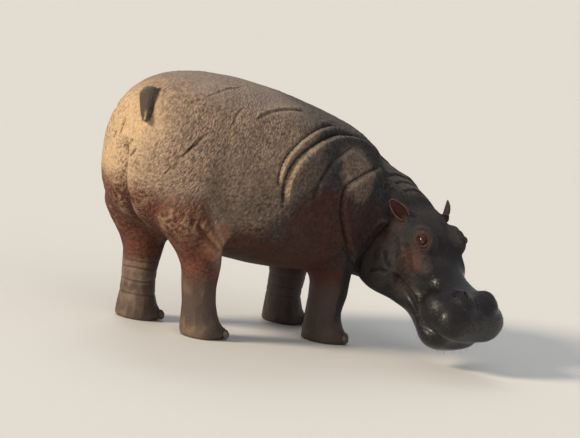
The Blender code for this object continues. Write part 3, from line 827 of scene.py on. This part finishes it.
def add_masks(hide):
    """Gives the hide the attributes that its material reads."""
    clay = Clay(hide.data)
    points, normals = clay.points, clay.normals
    x, y, z = points.T
    regions = body_regions(points)
    body = 1 - regions["head"]
    # Leaning length from rump to front: the colours along it are partly painted light at the rump
    # and painted shade at the front.
    lean = x - 0.45 * (z - 1.0) + 0.15 * (y - 0.2)
    # Painted light: on the far hip the tan reaches further and the reddish border rises, standing in
    # for light on that hip.
    lit_far_hip = 0.50 * np.maximum(y - 0.22, 0)
    # Painted shade: the flank patch is added to the dark colour.
    dark = smoothstep(*DARK_START, lean) + ball_mask(points, *SHADED_FLANK_PATCH)
    # Painted light: the lit hump is taken out of the dark colour.
    dark -= ball_mask(points, *LIT_HUMP)
    ear = smoothstep(0.35, 0.8, on_short_ears(points)) * (to_head(points)[:, 0] < EAR_FRONT)
    tail = smoothstep(0.2, 0.6, closeness(points, "tail", TAIL_REACH))
    shin = smoothstep(*SHIN_BELOW, z) * body
    wet = [regions["muzzle"], 0.55 * shin, ball_mask(points, *CHEEK_SHINE)]
    masks = {
        "hollow": hollows(clay),
        "brown": smoothstep(*BROWN_START, lean + 0.25 * (z - 1.0) - lit_far_hip),
        "dark": np.maximum(dark, DARK_HEAD * regions["head"]),
        "pink": reddish(points, normals, body, lit_far_hip),
        "groin": ball_mask(points, *LIT_GROIN),
        "ear": ear,
        "ear_inside": ear * ear_openings(points, normals),
        "tail": tail * smoothstep(*TAIL_FADE, distances(points, TAIL_ROOT)),
        "shin": shin,
        "wet": np.maximum.reduce(wet),
        "top": smoothstep(0.45, 0.95, normals[:, 2]) * body * smoothstep(-0.95, -0.6, x),
        **regions,
    }
    for name, values in masks.items():
        add_mask(hide.data, name, values)


# ---------------------------------------------------------------- materials

class Signal:
    """A socket's value. Arithmetic on it adds Math nodes."""

    def __init__(self, paint, socket):
        self.paint = paint
        self.socket = socket

    def math(self, operation, *values):
        inputs = dict(enumerate(values))
        return self.paint.node("ShaderNodeMath", {"operation": operation}, inputs)

    def __add__(self, other):
        return self.math("ADD", self, other)

    def __radd__(self, other):
        return self.math("ADD", other, self)

    def __sub__(self, other):
        return self.math("SUBTRACT", self, other)

    def __rsub__(self, other):
        return self.math("SUBTRACT", other, self)

    def __mul__(self, other):
        return self.math("MULTIPLY", self, other)

    def __rmul__(self, other):
        return self.math("MULTIPLY", other, self)

    def root(self):
        return self.math("SQRT", self)

    def ramp(self, low, high, start=0.0, end=1.0):
        """Goes smoothly from start to end as the value goes from low to high."""
        settings = {"interpolation_type": "SMOOTHSTEP"}
        inputs = {"Value": self, "From Min": low, "From Max": high, "To Min": start, "To Max": end}
        return self.paint.node("ShaderNodeMapRange", settings, inputs)


class Paint:
    """A material that is built up from nodes."""

    def __init__(self, name):
        self.material = bpy.data.materials.new(name)
        self.material.use_nodes = True
        self.tree = self.material.node_tree
        self.shader = self.tree.nodes["Principled BSDF"]
        self.place = self.node("ShaderNodeTexCoord", output="Object")

    def node(self, kind, settings=None, inputs=None, output=0):
        new = self.tree.nodes.new(kind)
        for name, value in (settings or {}).items():
            setattr(new, name, value)
        for key, value in (inputs or {}).items():
            self.feed(new.inputs[key], value)
        return Signal(self, new.outputs[output])

    def feed(self, socket, value):
        if isinstance(value, Signal):
            self.tree.links.new(value.socket, socket)
        elif isinstance(value, tuple) and len(value) == 3 and socket.type == "RGBA":
            socket.default_value = (*value, 1)
        else:
            socket.default_value = value

    def set(self, **sockets):
        for name, value in sockets.items():
            self.feed(self.shader.inputs[name.replace("_", " ")], value)

    def mask(self, name):
        settings = {"attribute_name": name, "attribute_type": "GEOMETRY"}
        return self.node("ShaderNodeAttribute", settings, output="Fac")

    def mix(self, share, first, second):
        """A colour between two."""
        settings = {"data_type": "RGBA"}
        return self.node("ShaderNodeMix", settings, {0: share, 6: first, 7: second}, output=2)

    def stretched(self, scale, turn=(0, 0, 0), place=None):
        """A place in units of the given lengths, along turned axes."""
        inputs = {"Vector": place or self.place, "Rotation": turn, "Scale": scale}
        return self.node("ShaderNodeMapping", {"vector_type": "TEXTURE"}, inputs)

    def noise(self, scale, detail=3.0, place=None, roughness=0.5, output="Fac"):
        inputs = {
            "Vector": place or self.place, "Scale": scale, "Detail": detail,
            "Roughness": roughness,
        }
        return self.node("ShaderNodeTexNoise", inputs=inputs, output=output)

    def cells(self, scale, feature="DISTANCE_TO_EDGE", place=None):
        inputs = {"Vector": place or self.place, "Scale": scale}
        return self.node("ShaderNodeTexVoronoi", {"feature": feature}, inputs, "Distance")

    def bump(self, height, distance, strength=1.0, below=None):
        inputs = {"Height": height, "Distance": distance, "Strength": strength}
        if below is not None:
            inputs["Normal"] = below
        return self.node("ShaderNodeBump", inputs=inputs)

    def warped(self, amount):
        """The place, shaken by noise, so that cells get uneven edges."""
        kind = "ShaderNodeVectorMath"
        shake = self.noise(14.0, 2.0, output="Color")
        centred = self.node(kind, {"operation": "SUBTRACT"}, {0: shake, 1: (0.5, 0.5, 0.5)})
        scaled = self.node(kind, {"operation": "SCALE"}, {0: centred, "Scale": amount})
        return self.node(kind, {"operation": "ADD"}, {0: self.place, 1: scaled})


def hide_material(sizes):
    paint = Paint("hippopotamus hide")
    hollow, pink, flank = paint.mask("hollow"), paint.mask("pink"), paint.mask("flank")
    muzzle, head, wet = paint.mask("muzzle"), paint.mask("head"), paint.mask("wet")
    broad = paint.noise(2.4, 4.0)
    blotch = paint.noise(10.0, 5.0, roughness=0.6)
    fine = paint.noise(52.0, 5.0, roughness=0.65)
    speck = paint.noise(170.0, 3.0, roughness=0.6)
    tilt = (0, STREAK_TILT, 0)
    shaken = paint.warped(CELL_WARP)
    pebble = 1 - paint.cells(1.0, "F1", paint.stretched(PEBBLES, tilt, shaken)) * 1.3
    seed = 1 - paint.cells(1.0, "F1", paint.stretched(SEEDS, tilt, shaken)) * 1.3
    smear = paint.noise(1.0, 4.0, paint.stretched(SMEARS, tilt), 0.6)
    shift = (blotch - 0.5) * RAGGED + (smear - 0.5) * RAGGED + (broad - 0.5) * RAGGED

    def patchy(mask, low, high, top=1.0):
        """A mask with a ragged, blotchy border."""
        return (mask + shift).ramp(low, high, 0.0, top)

    grit = (fine * 0.62 + blotch * 0.30 + pebble * 0.10).ramp(0.36, 0.68)
    # Tan of the rump: partly its dry hide, partly painted light.
    dry_and_sunlit = paint.mix(grit, tuple(sizes.dry_and_sunlit_hide), tuple(sizes.dust_and_ridge_highlight))
    brown = paint.mix(grit, tuple(sizes.brown_shade), tuple(sizes.brown_hide))
    dark = paint.mix(grit, tuple(sizes.dark_and_shaded_hide), tuple(sizes.grey_hide))
    # Dark neck, shoulder and head: their own dark hide, together with painted shade.
    charcoal = patchy(paint.mask("dark"), 0.15, 0.85)
    colour = paint.mix(patchy(paint.mask("brown"), 0.15, 0.9), dry_and_sunlit, brown)
    colour = paint.mix(charcoal, colour, dark)
    greyed = patchy(paint.mask("top"), 0.15, 1.1, 0.75)
    colour = paint.mix(greyed * (1 - charcoal * 0.55), colour, tuple(sizes.back_hide))
    blush = patchy(pink, 0.20, 1.0, 0.92)
    shade = grit * (1 - charcoal * 0.75)
    flesh = paint.mix(shade, tuple(sizes.red_hide), tuple(sizes.pink_hide))
    colour = paint.mix(blush, colour, flesh)
    # Painted highlight on the groin's folds.
    colour = paint.mix(patchy(paint.mask("groin"), 0.35, 1.1, 0.45), colour, tuple(sizes.groin_highlight))
    slate = paint.mix(blotch.ramp(0.35, 0.65), tuple(sizes.dark_and_shaded_hide), tuple(sizes.slate_hide))
    colour = paint.mix(head * (1 - pink) * 0.8, colour, slate)
    colour = paint.mix(patchy(paint.mask("shin"), 0.25, 0.9, 0.88), colour, tuple(sizes.shin_hide))
    colour = paint.mix(muzzle * 0.9, colour, tuple(sizes.wet_hide))
    # Painted shade: hollows and creases are darkened.
    colour = paint.mix(hollow.ramp(0.8, 4.5, 0.0, 0.7), colour, tuple(sizes.crease_shade))
    # Painted highlight: ridges are lightened with the dusty colour.
    ridge_highlight = hollow.ramp(-0.4, -3.0, 0.0, 0.32) * (1 - muzzle) * (1 - charcoal * 0.90)
    colour = paint.mix(ridge_highlight, colour, tuple(sizes.dust_and_ridge_highlight))
    uneven = (broad * 0.6 + blotch * 0.4).ramp(0.38, 0.62, 0.35, 1.0)
    rugged = flank * uneven * (1 - paint.mask("top") * 0.45)
    # Painted shade between the pebbles of the flank.
    pebble_gap_shade = pebble.ramp(0.22, -0.05, 0.0, 0.45) * rugged
    colour = paint.mix(pebble_gap_shade, colour, tuple(sizes.crease_shade))
    ear, inside = paint.mask("ear"), paint.mask("ear_inside")
    # Ear rims: partly their own pinker hide, partly painted highlight on the convex skin.
    rim = ear * hollow.ramp(-0.8, -2.6)
    colour = paint.mix(inside * (0.75 + fine * 0.3), colour, tuple(sizes.ear_hollow))
    colour = paint.mix(rim * (0.35 + blotch * 0.6), colour, tuple(sizes.ear_rim_and_highlight))
    # Painted shade: the tail's flap is coloured near black.
    colour = paint.mix(paint.mask("tail") * 0.92, colour, tuple(sizes.shaded_tail))
    dull = 0.60 + fine * 0.20 + speck * 0.08 - wet * 0.42 - head * 0.08
    rough = dull.ramp(0.0, 1.0, 0.12, 0.95)
    plates = paint.cells(46.0, place=shaken).ramp(0.0, 0.10)
    coarse = paint.bump(pebble * (rugged + 0.08), PEBBLE_DEPTH)
    grained = paint.bump(fine + plates * 0.10 + seed * 0.35, GRAIN_DEPTH, 0.8, coarse)
    across = paint.stretched(FURROWS, (ACROSS_MUZZLE, 0, 0), shaken)
    furrows = paint.noise(1.0, 2.0, across, 0.5).ramp(0.38, 0.52) * head
    furrowed = paint.bump(furrows, FURROW_DEPTH, 0.8, grained)
    pores = paint.cells(130.0, "F1").ramp(0.10, 0.32) * (muzzle * 1.6 + 0.1)
    normal = paint.bump(speck * 0.7 + pores, PORE_DEPTH, 0.7, furrowed)
    paint.set(Base_Color=colour, Roughness=rough, Normal=normal, Coat_Weight=wet * WET_COAT)
    paint.set(Coat_Roughness=WET_COAT_ROUGHNESS, Specular_IOR_Level=SHEEN)
    return paint.material


def eye_material(sizes):
    paint = Paint("wet eye")
    u, v = paint.mask("gaze_forward"), paint.mask("gaze_up")
    distance = (u * u + v * v).root()
    pupil = (u * u * 0.45 + v * v * 2.2).root()
    spokes = paint.noise(1.0, 4.0, paint.stretched((0.0012, 0.0012, 0.0012)), 0.6)
    iris = paint.mix(spokes.ramp(0.35, 0.7), (0.018, 0.008, 0.004), tuple(sizes.iris))
    iris = paint.mix(distance.ramp(11.0, 13.5), iris, (0.006, 0.004, 0.003))
    white = paint.mix(spokes.ramp(0.45, 0.6), tuple(sizes.white), (0.16, 0.07, 0.05))
    colour = paint.mix(distance.ramp(13.6, 15.0), iris, white)
    colour = paint.mix(pupil.ramp(4.6, 3.8), colour, (0.001, 0.001, 0.001))
    paint.set(Base_Color=colour, Roughness=0.08 + spokes * 0.05)
    paint.set(Coat_Weight=0.4, Coat_Roughness=0.03)
    return paint.material


def nail_material(sizes):
    paint = Paint("toenail horn")
    grain = paint.noise(1.0, 4.0, paint.stretched((0.003, 0.003, 0.02)), 0.6)
    dirt = paint.noise(60.0, 4.0)
    colour = paint.mix(grain.ramp(0.35, 0.65), tuple(sizes.horn_shade), tuple(sizes.horn))
    colour = paint.mix(dirt.ramp(0.5, 0.7, 0.0, 0.6), colour, (0.05, 0.035, 0.025))
    normal = paint.bump(grain * 0.6 + dirt * 0.4, 0.0012, 0.6)
    paint.set(Base_Color=colour, Roughness=0.38 + dirt * 0.25, Normal=normal)
    return paint.material


def bristle_material(sizes):
    paint = Paint("bristle hair")
    grain = paint.noise(90.0, 2.0)
    pale = tuple(min(channel * 3.0, 1.0) for channel in sizes.bristle)
    colour = paint.mix(grain.ramp(0.35, 0.65), tuple(sizes.bristle), pale)
    paint.set(Base_Color=colour, Roughness=0.42 + grain * 0.1)
    return paint.material


def floor_material(colour):
    paint = Paint("pale floor")
    grain = paint.noise(220.0, 3.0)
    dim = tuple(channel * 0.75 for channel in colour)
    colour = paint.mix(grain.ramp(0.35, 0.65), dim, tuple(colour))
    paint.set(Base_Color=colour, Roughness=FLOOR_ROUGHNESS + grain * 0.1)
    return paint.material


# ---------------------------------------------------------------- eyes and bristles

def make_eye(side):
    """A ball with a bulging front, which carries its distances from the line of sight."""
    radius = EYE_RADIUS * EYE_SHRINK
    mesh = bmesh.new()
    around, down = EYE_SEGMENTS
    bmesh.ops.create_uvsphere(mesh, u_segments=around, v_segments=down, radius=radius)
    for vertex in mesh.verts:
        front = float(smoothstep(*CORNEA_EDGE, vertex.co.z / radius))
        vertex.co *= 1 + CORNEA / EYE_RADIUS * front
    spots = np.array([vertex.co * 1000 for vertex in mesh.verts])
    axes = Matrix(eye_axes(side).tolist())
    placed = Matrix.Translation(EYE[side]) @ axes.transposed().to_4x4()
    bmesh.ops.transform(mesh, matrix=placed, verts=mesh.verts)
    bmesh.ops.recalc_face_normals(mesh, faces=mesh.faces)
    data = finished(mesh, f"eyeball_{side}")
    add_mask(data, "gaze_forward", spots[:, 0])
    add_mask(data, "gaze_up", spots[:, 1])
    return link(f"eyeball_{side}", data)


def bristle_roots(hide, sizes):
    """For each set of bristles its name, slot and roots.

    A root is a place, a direction, a length, a thickness and its spot on the unwrap, which is
    the skin rolled out round the muzzle, each ear or the tail.
    """
    tree = mesh_tree(hide.data)
    dice = np.random.default_rng(BRISTLE_SEED)
    sets = [("bristles_muzzle", "hide_head", muzzle_roots(tree, dice, sizes.muzzle_bristles))]
    for side, sign in SIDES.items():
        roots = ear_roots(tree, side, sign, dice, sizes.ear_bristles)
        sets.append((f"bristles_ear_{side}", "hide_ear", roots))
    sets.append(("bristles_tail", "hide_tail", tail_roots(tree, dice, sizes.tail_bristles)))
    return sets


def muzzle_roots(tree, dice, count):
    """Hairs all round the muzzle but not on its top."""
    shortest, longest, thickness = MUZZLE_BRISTLE
    start_along, end_along = BRISTLED_MUZZLE
    roots = []
    while len(roots) < count:
        turn = dice.uniform(0, tau)
        along = dice.uniform(start_along, end_along)
        away = Vector((0.15, cos(turn), sin(turn)))
        start = Vector((along, 0, MUZZLE_CORE)) + away * 0.6
        place, normal, _, _ = tree.ray_cast(BROW + HEAD @ start, HEAD @ -away)
        if place is None or (HEAD.transposed() @ normal).z > MUZZLE_TOP:
            continue
        droop = (normal + HEAD @ Vector((0.25, 0, -0.25))).normalized()
        spot = (turn / tau, (along - start_along) / (end_along - start_along))
        roots.append((place, droop, dice.uniform(shortest, longest), thickness, spot))
    return roots


def ear_roots(tree, side, sign, dice, count):
    """Hairs along the rim, leaning over the hollow."""
    shortest, longest, thickness = EAR_BRISTLE
    centre = middle(f"ear_{side}")
    looks = head_way(EAR_LOOKS, sign).normalized()
    rise = head_way(EAR_RISE, sign).normalized()
    rise = (rise - looks * rise.dot(looks)).normalized()
    across = looks.cross(rise)
    roots = []
    for i in range(count):
        turn = tau * (i + dice.uniform(-0.3, 0.3)) / count
        away = across * cos(turn) + rise * sin(turn)
        if sin(turn) < EAR_GAP:
            continue
        start = centre + away * 0.2 + looks * dice.uniform(-0.004, 0.008)
        place = tree.ray_cast(start, -away, 0.25)[0]
        if place is None or (place - centre).dot(away) < 0.01:
            continue
        lean = (away + looks * dice.uniform(0.3, 0.9)).normalized()
        spot = (turn / tau % 1.0, dice.uniform(0.3, 0.7))
        roots.append((place, lean, dice.uniform(shortest, longest), thickness, spot))
    return roots


def tail_roots(tree, dice, count):
    """Stiff hairs round the tail's tip."""
    shortest, longest, thickness = TAIL_BRISTLE
    tip = Vector(TAIL_TIP)
    way = (tip - Vector(TAIL_ROOT)).normalized()
    roots = []
    for _ in range(count):
        wide = Vector(dice.uniform(-1, 1, 3)) * TAIL_TUFT
        place, normal, _, _ = tree.find_nearest(tip + wide)
        lean = (way * 1.2 + normal * 0.5 + Vector((0, 0, -0.3))).normalized()
        turn = (Vector((wide.x, wide.y)).angle_signed(Vector((1, 0)), 0) + pi) / tau
        spot = (turn, (wide.z + TAIL_TUFT) / (2 * TAIL_TUFT))
        roots.append((place, lean, dice.uniform(shortest, longest), thickness, spot))
    return roots


def bristle_pattern():
    """One tapering bristle, 1 long and 1 in radius, with its root just below 0."""
    mesh = bmesh.new()
    unwrap = mesh.loops.layers.uv.new("OFBake")
    bmesh.ops.create_cone(
        mesh, cap_ends=True, segments=BRISTLE_SIDES, radius1=1.0, radius2=0.25, depth=1.0
    )
    ends = [(edge, *edge.verts) for edge in mesh.edges]
    long_edges = [edge for edge, start, end in ends if abs(start.co.z - end.co.z) > 0.9]
    bmesh.ops.subdivide_edges(mesh, edges=long_edges, cuts=BRISTLE_RINGS)
    for face in mesh.faces:
        for loop in face.loops:
            loop[unwrap].uv = (loop.vert.co.x * PATCH * 0.4, loop.vert.co.z * PATCH * 0.9)
    bmesh.ops.translate(mesh, verts=mesh.verts, vec=(0, 0, 0.5 - BRISTLE_ROOT))
    return finished(mesh, "bristle pattern")


def make_bristles(name, roots):
    """Bent, tapering hairs in one mesh, each a small patch of the unwrap."""
    pattern = bristle_pattern()
    mesh = bmesh.new()
    unwrap = mesh.loops.layers.uv.new("OFBake")
    for place, way, length, thickness, spot in roots:
        old_verts, old_faces = len(mesh.verts), len(mesh.faces)
        mesh.from_mesh(pattern)
        mesh.verts.ensure_lookup_table()
        mesh.faces.ensure_lookup_table()
        turn = Matrix.Translation(place) @ way.to_track_quat("Z", "Y").to_matrix().to_4x4()
        for vertex in mesh.verts[old_verts:]:
            x, y, z = vertex.co
            bend = BRISTLE_BEND * length * max(z, 0) ** 2
            vertex.co = turn @ Vector((x * thickness, y * thickness - bend, z * length))
        for face in mesh.faces[old_faces:]:
            for loop in face.loops:
                loop[unwrap].uv += Vector(spot)
    bpy.data.meshes.remove(pattern)
    return link(name, finished(mesh, name))


# ---------------------------------------------------------------- the add-on

def colour_property(name, description, default):
    return bpy.props.FloatVectorProperty(
        name=name, description=description, default=default, subtype="COLOR", min=0, max=1
    )


def count_property(name, description, default):
    return bpy.props.IntProperty(name=name, description=description, default=default, min=0)


def length_property(name, description, default, least):
    return bpy.props.FloatProperty(
        name=name, description=description, default=default, min=least, unit="LENGTH", precision=4
    )


class HideSettings(bpy.types.PropertyGroup):
    fineness: length_property("Fineness", "Size of the cells the flesh is melted in", 0.005, 0.002)
    # Partly the dry rump's own tan, partly painted light on the rump.
    dry_and_sunlit_hide: colour_property("Dry hide", "Hide of the dry rump", (0.38, 0.256, 0.145))
    # Dust in the rump's grain, and also the painted highlight on ridges.
    dust_and_ridge_highlight: colour_property("Dusty hide", "Dust on its ridges", (0.55, 0.387, 0.233))
    brown_hide: colour_property("Brown hide", "Hide of flank and back", (0.305, 0.210, 0.151))
    brown_shade: colour_property("Brown shade", "Its darker grain", (0.120, 0.083, 0.060))
    back_hide: colour_property("Back", "Greyer hide along the top", (0.228, 0.185, 0.151))
    grey_hide: colour_property(
        "Grey hide", "Lighter grain of neck and shoulder", (0.060, 0.051, 0.047)
    )
    # Partly the hide's own dark colour, partly painted shade on neck, shoulder and head.
    dark_and_shaded_hide: colour_property("Dark hide", "Hide of neck and shoulder", (0.0135, 0.0112, 0.0108))
    slate_hide: colour_property(
        "Slate hide", "Bluish hide of the forehead", (0.0170, 0.0166, 0.0184)
    )
    pink_hide: colour_property("Reddish hide", "Thin hide of belly and lids", (0.150, 0.042, 0.021))
    red_hide: colour_property("Red shade", "Its darker grain", (0.046, 0.0120, 0.0072))
    # Painted highlight on the groin's folds.
    groin_highlight: colour_property("Groin", "Pale folds of the groin", (0.33, 0.130, 0.065))
    shin_hide: colour_property("Shins", "Hide of the lower legs", (0.060, 0.037, 0.029))
    wet_hide: colour_property("Wet hide", "Wet hide of the muzzle", (0.0080, 0.0070, 0.0074))
    # Painted shade in the hollows and creases and between the pebbles.
    crease_shade: colour_property("Creases", "Dirt in the creases", (0.016, 0.011, 0.009))
    # Partly the rim's own colour, partly painted highlight.
    ear_rim_and_highlight: colour_property("Ear rim", "Thick rim of the ears", (0.26, 0.130, 0.092))
    ear_hollow: colour_property("Ear hollow", "Inside of the ears", (0.036, 0.0090, 0.0068))
    # Painted shade of the tail's flap.
    shaded_tail: colour_property("Tail", "Dark flap of the tail", (0.026, 0.022, 0.020))


class DetailSettings(bpy.types.PropertyGroup):
    iris: colour_property("Iris", "Brown of the iris", (0.030, 0.013, 0.007))
    white: colour_property("Eye white", "The ball round the iris", (0.050, 0.027, 0.020))
    horn: colour_property("Horn", "Lighter horn of the toenails", (0.115, 0.085, 0.060))
    horn_shade: colour_property("Horn shade", "Darker horn", (0.035, 0.026, 0.020))
    bristle: colour_property("Bristles", "Colour of the bristles", (0.055, 0.038, 0.028))
    muzzle_bristles: count_property("Muzzle bristles", "How many there are", 170)
    ear_bristles: count_property("Ear bristles", "Tried round the rim of each ear", 90)
    tail_bristles: count_property("Tail bristles", "How many there are", 70)


class StageSettings(bpy.types.PropertyGroup):
    floor_colour: colour_property("Floor", "Colour of the floor", (0.70, 0.68, 0.64))
    floor_size: length_property("Floor size", "Width of the floor", 260.0, 1.0)
    camera_distance: length_property("Camera distance", "From the aim point", 25.0, 1.0)


def finish_piece(piece, material, slot, *nodes):
    """Gives a piece its material, its body and the nodes it stands for. The slot is not used."""
    piece.data.materials.clear()
    piece.data.materials.append(material)
    piece.data.shade_smooth()
    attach(piece, "root")
    if nodes:
        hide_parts(*nodes)


class HIPPO_OT_hide(bpy.types.Operator):
    """Build the one skin that stands for all the flesh"""

    bl_idname = "hippo.hide"
    bl_label = "Hide"

    def execute(self, context):
        sizes = context.scene.hippo_hide
        hide = make_skin(sizes.fineness)
        if len(hide.data.polygons) == 0:
            raise RuntimeError("the hide has no faces")
        add_masks(hide)
        finish_piece(hide, hide_material(sizes), "hide_body", *FLESH)
        return {"FINISHED"}


class HIPPO_OT_eyes(bpy.types.Operator):
    """Build both eyes"""

    bl_idname = "hippo.eyes"
    bl_label = "Eyes"

    def execute(self, context):
        material = eye_material(context.scene.hippo_details)
        for side in SIDES:
            finish_piece(make_eye(side), material, "eye", f"eye_{side}")
        return {"FINISHED"}


class HIPPO_OT_toenails(bpy.types.Operator):
    """Build the four toenails of each foot"""

    bl_idname = "hippo.toenails"
    bl_label = "Toenails"

    def execute(self, context):
        material = nail_material(context.scene.hippo_details)
        for leg in LEGS:
            nodes = [f"toenail_{leg}_{toe}" for toe in range(1, TOES + 1)]
            nails = gather(f"toenails_{leg}", nodes)
            modify(nails, "REMESH", mode="VOXEL", voxel_size=NAIL_VOXEL)
            modify(nails, "SMOOTH", factor=0.5, iterations=NAIL_SMOOTHING)
            clay = Clay(nails.data)
            clay.push(np.full(len(clay.points), NAIL_SWELLING))
            clay.settle()
            if len(nails.data.polygons) < FEWEST_NAIL_FACES:
                raise RuntimeError(f"the toenails of {leg} are missing")
            finish_piece(nails, material, "toenail", *nodes)
        return {"FINISHED"}


class HIPPO_OT_bristles(bpy.types.Operator):
    """Build the bristles of muzzle, ears and tail"""

    bl_idname = "hippo.bristles"
    bl_label = "Bristles"

    def execute(self, context):
        sizes = context.scene.hippo_details
        material = bristle_material(sizes)
        for name, slot, roots in bristle_roots(bpy.data.objects["hide"], sizes):
            finish_piece(make_bristles(name, roots), material, slot)
        return {"FINISHED"}


class HIPPO_OT_stage(bpy.types.Operator):
    """Set up the floor, the lights and the camera"""

    bl_idname = "hippo.stage"
    bl_label = "Stage"

    def execute(self, context):
        settings = context.scene.hippo_stage
        mesh = bmesh.new()
        bmesh.ops.create_grid(mesh, x_segments=1, y_segments=1, size=settings.floor_size / 2)
        floor = link("floor", finished(mesh, "floor"))
        floor.data.materials.append(floor_material(settings.floor_colour))
        add_lights()
        add_camera(settings.camera_distance)
        return {"FINISHED"}


def back_of(azimuth, height):
    """Direction from the aim point to a camera or light."""
    return Vector((sin(azimuth) * cos(height), -cos(azimuth) * cos(height), sin(height)))


def add_lights():
    world = bpy.data.worlds.new("studio")
    world.use_nodes = True
    backdrop = world.node_tree.nodes["Background"]
    backdrop.inputs["Color"].default_value = SKY_COLOUR
    backdrop.inputs["Strength"].default_value = SKY_STRENGTH
    bpy.context.scene.world = world
    bpy.context.scene.view_settings.view_transform = "Standard"
    for name, azimuth, height, strength, softness, colour, reflected in LIGHTS:
        data = bpy.data.lights.new(name, "SUN")
        data.energy = strength
        data.angle = radians(softness)
        data.color = colour
        light = link(name, data)
        light.visible_glossy = reflected
        direction = back_of(radians(azimuth), radians(height))
        light.rotation_euler = direction.to_track_quat("Z", "Y").to_euler()


def add_camera(distance):
    data = bpy.data.cameras.new("camera")
    data.lens = CAMERA_LENS
    data.clip_end = CAMERA_CLIP
    camera = link("camera", data)
    back = back_of(CAMERA_AZIMUTH, CAMERA_HEIGHT)
    turn = back.to_track_quat("Z", "Y").to_matrix().to_4x4()
    place = Matrix.Translation(CAMERA_AIM + back * distance)
    camera.matrix_world = place @ turn @ Matrix.Rotation(CAMERA_ROLL, 4, "Z")
    bpy.context.scene.camera = camera


class HIPPO_PT_panel(bpy.types.Panel):
    """Lists the steps that build the animal"""

    bl_label = "Hippopotamus"
    bl_idname = "HIPPO_PT_panel"
    bl_space_type = "VIEW_3D"
    bl_region_type = "UI"
    bl_category = "Hippopotamus"

    def draw(self, context):
        for operator in OPERATORS:
            self.layout.operator(operator.bl_idname)
        scene = context.scene
        for settings in (scene.hippo_hide, scene.hippo_details, scene.hippo_stage):
            for name in settings.bl_rna.properties.keys():
                if name not in ("rna_type", "name"):
                    self.layout.prop(settings, name)


OPERATORS = (
    HIPPO_OT_hide, HIPPO_OT_eyes, HIPPO_OT_toenails, HIPPO_OT_bristles, HIPPO_OT_stage,
)
CLASSES = (HideSettings, DetailSettings, StageSettings, *OPERATORS, HIPPO_PT_panel)


def register():
    for cls in CLASSES:
        bpy.utils.register_class(cls)
    bpy.types.Scene.hippo_hide = bpy.props.PointerProperty(type=HideSettings)
    bpy.types.Scene.hippo_details = bpy.props.PointerProperty(type=DetailSettings)
    bpy.types.Scene.hippo_stage = bpy.props.PointerProperty(type=StageSettings)


def unregister():
    del bpy.types.Scene.hippo_stage
    del bpy.types.Scene.hippo_details
    del bpy.types.Scene.hippo_hide
    for cls in reversed(CLASSES):
        bpy.utils.unregister_class(cls)


def main():
    register()
    bpy.ops.hippo.hide()
    bpy.ops.hippo.eyes()
    bpy.ops.hippo.toenails()
    bpy.ops.hippo.bristles()
    bpy.ops.hippo.stage()


if __name__ == "__main__":
    main()
